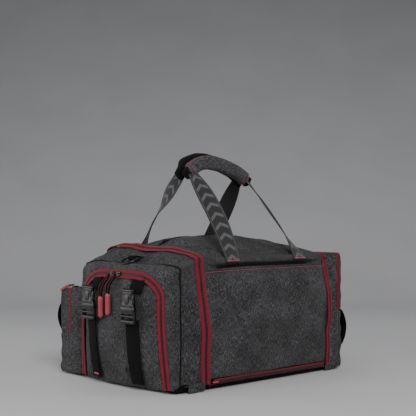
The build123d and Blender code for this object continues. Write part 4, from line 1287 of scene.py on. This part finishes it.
def rings(looks):
    """The two rings and the folded tabs they hang from."""
    for name, x, z, run, droop in (("near_ring", -242.0, 261.0, -1, 0.40),
                                   ("end_ring", 222.0, 266.5, 1, -0.03)):
        shape = [(0, 0), (5, 0), (10, 0), (14, 0.2), (17.2, 1.8), (18.8, 5.0)]
        shape += [(19 * math.cos(math.radians(a)), 8 + 20 * math.sin(math.radians(a))) for a in range(2,
                                                                                                      180,
                                                                                                      8)]
        shape += [(-y, reach) for y, reach in shape[5::-1]]
        across = Vector((0, 1, 0))
        outward = Vector((run * math.cos(droop), 0, -math.sin(droop)))
        points = [Vector((x, 0, z)) * MM + (across * y + outward * reach) * MM for y, reach in shape]
        up = across.cross(outward)
        ring = sweep(path_frames(points, lambda i, p, t, up=up: up), rounded(5.2, 5.2, 2.5, 4, lift=-2.6),
                     closed=True)
        finish_piece(ring, f"{name}_wire", looks["plastic"], name, "black_plastic", (name,))
    for name, node, x, z, run in (("near_ring_loop", "near_ring_tab", -242.0, 260.6, 1),
                                  ("end_ring_loop", "end_ring_tab", 222.0, 266.5, -1)):
        line = []
        for i in range(9):
            line.append(Vector((x + run * (20 - i * 2.2), 0, z + 1.2 + 2.4 * smooth(0, 8, i))))
        for i in range(13):
            angle = math.pi / 2 + math.pi * i / 12
            line.append(Vector((x + run * 3.6 * math.cos(angle), 0, z + 3.6 * math.sin(angle))))
        for i in range(7):
            line.append(Vector((x + run * (1 + i * 2.2), 0, z - 3.6)))
        points = [p * MM for p in line]
        turn = Vector((0, 1, 0))
        frames = path_frames(points, lambda i, p, t, run=run: t.cross(turn) * -run)
        finish_piece(strap(frames, 23, 1.7), name, looks["webbing"], "bag", "black_webbing", (node,))


def plate(y, rows, corner=2.6, x=BUCKLE_X):
    """A moulded block standing on the near end at y.
    rows give its height, width, thickness and any shift out."""
    low, high = rows[0][0], rows[-1][0]
    line = [Vector((x, y, low + (high - low) * i / 40)) * MM for i in range(41)]
    path = path_frames(line, lambda i, p, t: Vector((-1, 0, 0)))
    def outline(share):
        width, thick, shift = along(rows, low + (high - low) * share)
        return rounded(width, thick, min(corner, thick * 0.48), 4, lift=shift - thick / 2)
    return sweep(path, outline, soft=50)


def cross_bar(y, z, length, wide, thick, bevel, x=BUCKLE_X):
    """A rounded bar lying across the webbing."""
    piece = bar(length, wide, thick, bevel, 4)
    turn = Matrix(((0, 0, -1), (1, 0, 0), (0, -1, 0))).to_4x4()
    piece.data.transform(Matrix.Translation(Vector((x, y, z)) * MM) @ turn)
    return piece


BUCKLE_PLATE = ((168.5, 39.0, 9.6, 0.2), (172.0, 36.0, 9.8, 0.3), (178.0, 29.5, 9.2, 0.2),
                (184.0, 26.5, 8.8, 0.0),
                (190.0, 27.5, 8.6, 0.0), (196.0, 32.0, 8.4, 0.0), (199.5, 34.0, 7.0, 0.0))
PLUG_PLATE = ((154.5, 41.0, 6.0, 0.0), (157.5, 43.5, 8.4, 0.2), (162.0, 43.0, 9.6, 0.4),
              (167.8, 39.5, 9.4, 0.3))


def buckles(looks):
    """Side-release buckles: waisted sockets on their sewn tabs, ladder plugs and springy arms."""
    for side, y in (("left", STRAP_Y), ("right", -STRAP_Y)):
        parts = [plate(y, BUCKLE_PLATE), cross_bar(y, 200.0, 36, 8.4, 9.6, 3.9)]
        parts.append(plate(y, ((173.0, 12.0, 2.0, 4.4), (178.0, 15.0, 2.6, 4.8), (188.0, 14.0, 2.6, 4.5),
                               (193.0, 11.0, 2.0, 4.0))))
        finish_piece(joined(parts), f"socket_{side}", looks["plastic"], "near_flap", "black_plastic",
                     (f"buckle_socket_{side}",))
        parts = [plate(y, PLUG_PLATE), cross_bar(y, 149.0, 40, 4.6, 6.0, 2.0),
                 cross_bar(y, 138.5, 44, 8.6, 9.0, 3.6)]
        for rail in (-19.6, 19.6):
            parts.append(plate(y + rail, ((136.0, 4.6, 7.0, 0.0), (146.0, 4.6, 7.0, 0.0),
                                          (157.0, 4.6, 7.0, 0.0))))
        parts.append(plate(y, ((160.0, 12.0, 4.0, 0.0), (175.0, 12.0, 4.0, 0.0), (188.0, 9.0, 4.0, 0.0)),
                           1.4))
        finish_piece(joined(parts), f"plug_{side}", looks["plastic"], f"plug_{side}", "black_plastic",
                     (f"buckle_plug_{side}",))
        for level, lean in (("low", -1), ("high", 1)):
            lug = plate(y + lean * 15.2, ((171.0, 2.6, 4.4, 0.0), (176.0, 6.4, 5.6, 0.0),
                                          (184.0, 7.4, 6.0, 0.0),
                                          (191.0, 5.6, 5.0, 0.0), (194.0, 2.4, 3.6, 0.0)), 1.8)
            finish_piece(lug, f"arm_{side}_{level}_lug", looks["plastic"], f"arm_{side}_{level}",
                         "black_plastic",
                         (f"buckle_arm_{side}_{level}",))
    cad("base_board", "board", looks, 1.0, 2)


def pull_tab(name, y, top_y, top, low, body, looks, node):
    """A soft rubber tab with a raised rim and ribs, on a loop of cord."""
    x = -302.4
    tab_top = low + 45.0
    rows = [Vector((x, y, tab_top + (low - tab_top) * i / 30)) * MM for i in range(31)]
    path = path_frames(rows, lambda i, p, t: Vector((-1, 0, 0)))
    def outline(share):
        end = min(share, 1 - share) * (tab_top - low)
        fall = math.sqrt(max(1 - max(1 - end / 6.4, 0.0) ** 2, 0.02))
        return rounded(14.5 * fall, 5.4 * (0.5 + 0.5 * fall), 2.2 * fall, 4, lift=-2.7 * (0.5 + 0.5 * fall))
    tab = sweep(path, outline, soft=60)
    rib = bar(1.6, 7.0, 1.0, 0.35)
    ribs = copies(rib, spots(shifted(path, out=2.8), 3.4, start=9, end=8))
    finish_piece(joined([tab, ribs]), name + "_tab", looks["rubber"], body, "crimson_rubber", (node,))
    cords = []
    edges = []
    for shift in (-3.0, 3.0):
        line = []
        for t in [i / 24 for i in range(25)]:
            rise = tab_top - 5 + (top - tab_top + 8) * t
            drift = y + (top_y - y) * smooth(0.15, 1.0, t) + shift * (0.5 + 0.9 * math.sin(math.pi * t))
            line.append(Vector((x - 1.5 * math.sin(math.pi * t) + 10.0 * smooth(0.45, 1, t), drift,
                                rise)) * MM)
        frames = path_frames(line, lambda i, p, t: Vector((-1, 0, 0.3)))
        cords.append(sweep(frames, rounded(4.2, 3.2, 1.5, 3, lift=-1.6)))
        edges.append(sweep(shifted(frames, side=-1.9, out=0.9), rounded(1.3, 1.3, 0.6, 2, lift=-0.6)))
    finish_piece(joined(cords), name + "_cord", looks["webbing"], body, "black_webbing")
    finish_piece(joined(edges), name + "_cord_edge", looks["zip"], body, "crimson_zip")


def pulls(looks):
    """The near zip's pair of sliders and tabs, and the side pocket's slider with its puller."""
    for side, y, top_y, low in (("left", 31.0, 17.0, 139.0), ("right", 6.5, -4.0, 146.0)):
        pull_tab(f"pull_{side}", y, top_y, 227.0, low, f"pull_{side}", looks, f"near_pull_{side}")
        z = 228.5
        stand = Vector((end_x(top_y, z), top_y, z)) * MM + u_normal(top_y, z) * 1.0 * MM
        out = u_normal(top_y, z)
        slider_on(f"slider_{side}_body", (stand, Vector((0, 0, 1)).cross(out).cross(out).normalized(),
                                          out), looks,
                  f"slider_{side}", nodes=(f"near_slider_{side}",), scale=1.15)
    cad("side_slider", "plastic", looks, 1.0, 3)
    start, stop = Vector((-254, 193, 196.5)) * MM, Vector((-265.5, 226, 183.0)) * MM
    rows = [start.lerp(stop, i / 30) + Vector((0, 0,
                                               2.4 * math.sin(math.pi * i / 30))) * MM for i in range(31)]
    path = path_frames(rows, lambda i, p, t: Vector((-0.5, 0, 1)))
    tab = sweep(path[8:], lambda s: rounded(9.0 * math.sqrt(max(1 - (2 * s - 1) ** 8, 0.05)), 5.0, 2.2, 3,
                                            lift=-2.5))
    cord = sweep(path[:12], rounded(3.0, 3.0, 1.4, 3, lift=-1.5))
    finish_piece(tab, "side_pull_tab", looks["rubber"], "side_pull", "crimson_rubber", ("side_pull",))
    finish_piece(cord, "side_pull_cord", looks["webbing"], "side_pull", "black_webbing")


# Stage, light and camera

def stage(settings):
    """Floor, soft lights and a level camera."""
    clear_selection()
    camera_data = bpy.data.cameras.new("camera")
    camera = bpy.data.objects.new("camera", camera_data)
    bpy.context.scene.collection.objects.link(camera)
    camera.location = settings.camera_place
    look = Vector((math.sin(settings.camera_turn), math.cos(settings.camera_turn), 0))
    camera.rotation_euler = look.to_track_quat("-Z", "Y").to_euler()
    camera_data.lens = settings.lens
    camera_data.sensor_width = 36
    camera_data.shift_x = 2 / 416
    camera_data.shift_y = 10 / 416
    bpy.context.scene.camera = camera

    bpy.ops.mesh.primitive_grid_add(x_subdivisions=60, y_subdivisions=60, size=1)
    floor = bpy.context.object
    floor.name = "floor"
    for vertex in floor.data.vertices:
        x, y = vertex.co.x * 12, vertex.co.y * 12
        reach = x * look.x + y * look.y
        vertex.co = (x, y, -0.001 + 3.0 * smooth(1.6, 6.0, reach))
    bpy.ops.object.shade_smooth()
    paint, nodes, links, shader = looks_group("floor_paint", (0.62, 0.62, 0.63), 0.55)
    coordinates = nodes.new("ShaderNodeTexCoord")
    mottle = grain(nodes, links, coordinates.outputs["Object"], (1, 1, 1), 3.0, 3.0, 0.5)
    links.new(ramp(nodes, links, mottle, ((0.3, (0.60, 0.60, 0.61)), (0.7, (0.64, 0.64, 0.65)))),
              shader.inputs["Base Color"])
    floor.data.materials.append(paint)

    for name, place, size, power, aim in (
            ("key", (-1.5, -2.3, 1.9), 1.3, 66, (0, 0, 0.15)),
            ("fill", (1.7, -1.6, 1.2), 1.6, 18, (0, 0, 0.15)),
            ("side", (-2.4, 0.1, 1.1), 1.3, 20, (-0.25, 0, 0.15)),
            ("top", (0.2, 0.9, 2.4), 1.4, 7, (0, 0, 0.2)),
            ("rim", (-1.75, 1.75, 0.75), 1.3, 16, (-0.28, 0, 0.18))):
        data = bpy.data.lights.new(name, "AREA")
        data.energy = power * settings.light
        data.size = size
        lamp = bpy.data.objects.new(name, data)
        bpy.context.scene.collection.objects.link(lamp)
        lamp.location = place
        lamp.rotation_euler = (Vector(aim) - Vector(place)).to_track_quat("-Z", "Y").to_euler()
    world = bpy.data.worlds.new("studio")
    world.use_nodes = True
    world.node_tree.nodes["Background"].inputs["Color"].default_value = (0.8, 0.82, 0.86, 1)
    world.node_tree.nodes["Background"].inputs["Strength"].default_value = 0.12
    bpy.context.scene.world = world


LOOKS = {}


def width_setting(name, description, millimetres):
    """A width that a user can change."""
    return FloatProperty(name=name, description=description, default=millimetres * MM, unit="LENGTH")


def colour_setting(name, description, colour):
    """A colour that a user can change."""
    return FloatVectorProperty(name=name, description=description, default=colour, subtype="COLOR")


class BagSettings(bpy.types.PropertyGroup):
    """What can be changed before the bag is sewn."""

    handle_width: width_setting("Handle width", "Width of the handles' webbing", 38)
    strap_width: width_setting("Strap width", "Width of the two buckled straps", 34)
    near_zip_width: width_setting("Near zip width", "Width of the near long zip over both tapes", 24)
    far_zip_width: width_setting("Far zip width", "Width of the far long zip over both tapes", 15)
    cloth_dark: colour_setting("Cloth, dark", "The heather cloth's darkest threads", (0.005, 0.005, 0.0055))
    cloth_middle: colour_setting("Cloth, middle", "The heather cloth's ground", (0.030, 0.030, 0.0315))
    cloth_pale: colour_setting("Cloth, pale", "The heather cloth's palest threads", (0.16, 0.16, 0.165))
    zip_colour: colour_setting("Zip", "The zips' tapes", (0.165, 0.008, 0.022))
    thread_colour: colour_setting("Thread", "Stitching and bar tacks", (0.42, 0.030, 0.075))
    webbing_colour: colour_setting("Webbing", "Straps, tabs, cords and grab loops", (0.0035, 0.0035, 0.004))
    plastic_colour: colour_setting("Plastic", "Buckles, sliders and rings", (0.003, 0.0032, 0.0036))
    tab_colour: colour_setting("Pull tabs", "The moulded pull tabs", (0.27, 0.018, 0.032))
    camera_place: FloatVectorProperty(name="Camera place", description="Where the camera stands",
                                      subtype="TRANSLATION", unit="LENGTH",
                                      default=(-1.4768, -1.5369, 0.3436))
    camera_turn: FloatProperty(name="Camera turn",
                               description="How far the camera looks round from the Y axis",
                               subtype="ANGLE", unit="ROTATION", default=math.radians(43.17))
    lens: FloatProperty(name="Lens", description="The camera's focal length", unit="CAMERA", default=82.2)
    light: FloatProperty(name="Light", description="A factor on every lamp's power", default=1.0)


def operator(label, idname, text, work):
    """One operator that makes a group of pieces."""
    def execute(self, context):
        if not LOOKS:
            LOOKS.update(make_looks(context.scene.duffel))
        work(LOOKS)
        return {"FINISHED"}
    return type("DUFFEL_OT_" + idname.split(".")[1], (bpy.types.Operator,),
                {"bl_idname": idname, "bl_label": label, "__doc__": text, "execute": execute})


class DUFFEL_OT_stage(bpy.types.Operator):
    """Sets the floor, the lights and the camera"""

    bl_idname = "duffel.stage"
    bl_label = "Stage"

    def execute(self, context):
        stage(context.scene.duffel)
        return {"FINISHED"}


MAKERS = (
    operator("Front", "duffel.front", "Sews the front's open pocket and the wall behind it", front_cloth),
    operator("Top", "duffel.top", "Sews both halves of the top and the zip between them", top_cloth),
    operator("Back", "duffel.back", "Sews the back wall", back_cloth),
    operator("Main zips", "duffel.zips", "Lays the two long zips and their dividers", main_zips),
    operator("Near compartment", "duffel.near", "Sews the near compartment and its arch of zip",
             near_compartment),
    operator("Near flap", "duffel.near_flap", "Sews the bulging end flap and its webbing", near_flap),
    operator("End pocket", "duffel.end_pocket", "Sews the pocket over the far end", end_pocket),
    operator("Side pocket", "duffel.side_pocket", "Sews the long pocket down the back", side_pocket),
    operator("Base", "duffel.base", "Sews the dark base, its rim and corner patches", base),
    operator("Front handle", "duffel.front_handle", "Sews on the front handle",
             lambda looks: handle(looks, "front_handle", -1)),
    operator("Back handle", "duffel.back_handle", "Sews on the back handle",
             lambda looks: handle(looks, "back_handle", 1)),
    operator("Grips", "duffel.grips", "Stuffs the two grips", grips),
    operator("Buckles", "duffel.buckles", "Finishes the buckles", buckles),
    operator("Rings", "duffel.rings", "Finishes the rings and folds their tabs", rings),
    operator("Pulls", "duffel.pulls", "Hangs the zip pulls", pulls),
)


class DUFFEL_PT_panel(bpy.types.Panel):
    """The bag's settings and steps"""

    bl_label = "Duffel Bag"
    bl_space_type = "VIEW_3D"
    bl_region_type = "UI"
    bl_category = "Duffel"

    def draw(self, context):
        settings = context.scene.duffel
        for name in BagSettings.__annotations__:
            self.layout.prop(settings, name)
        self.layout.operator("duffel.stage")
        for maker in MAKERS:
            self.layout.operator(maker.bl_idname)


CLASSES = (BagSettings, DUFFEL_OT_stage, *MAKERS, DUFFEL_PT_panel)


def register():
    """Adds the add-on's classes and settings."""
    for item in CLASSES:
        bpy.utils.register_class(item)
    bpy.types.Scene.duffel = PointerProperty(type=BagSettings)


def unregister():
    """Takes them away again."""
    del bpy.types.Scene.duffel
    for item in reversed(CLASSES):
        bpy.utils.unregister_class(item)


def main():
    """Makes the whole bag, step by step."""
    register()
    bpy.ops.duffel.stage()
    for maker in MAKERS:
        group, step = maker.bl_idname.split(".")
        getattr(getattr(bpy.ops, group), step)()


if __name__ == "__main__":
    main()
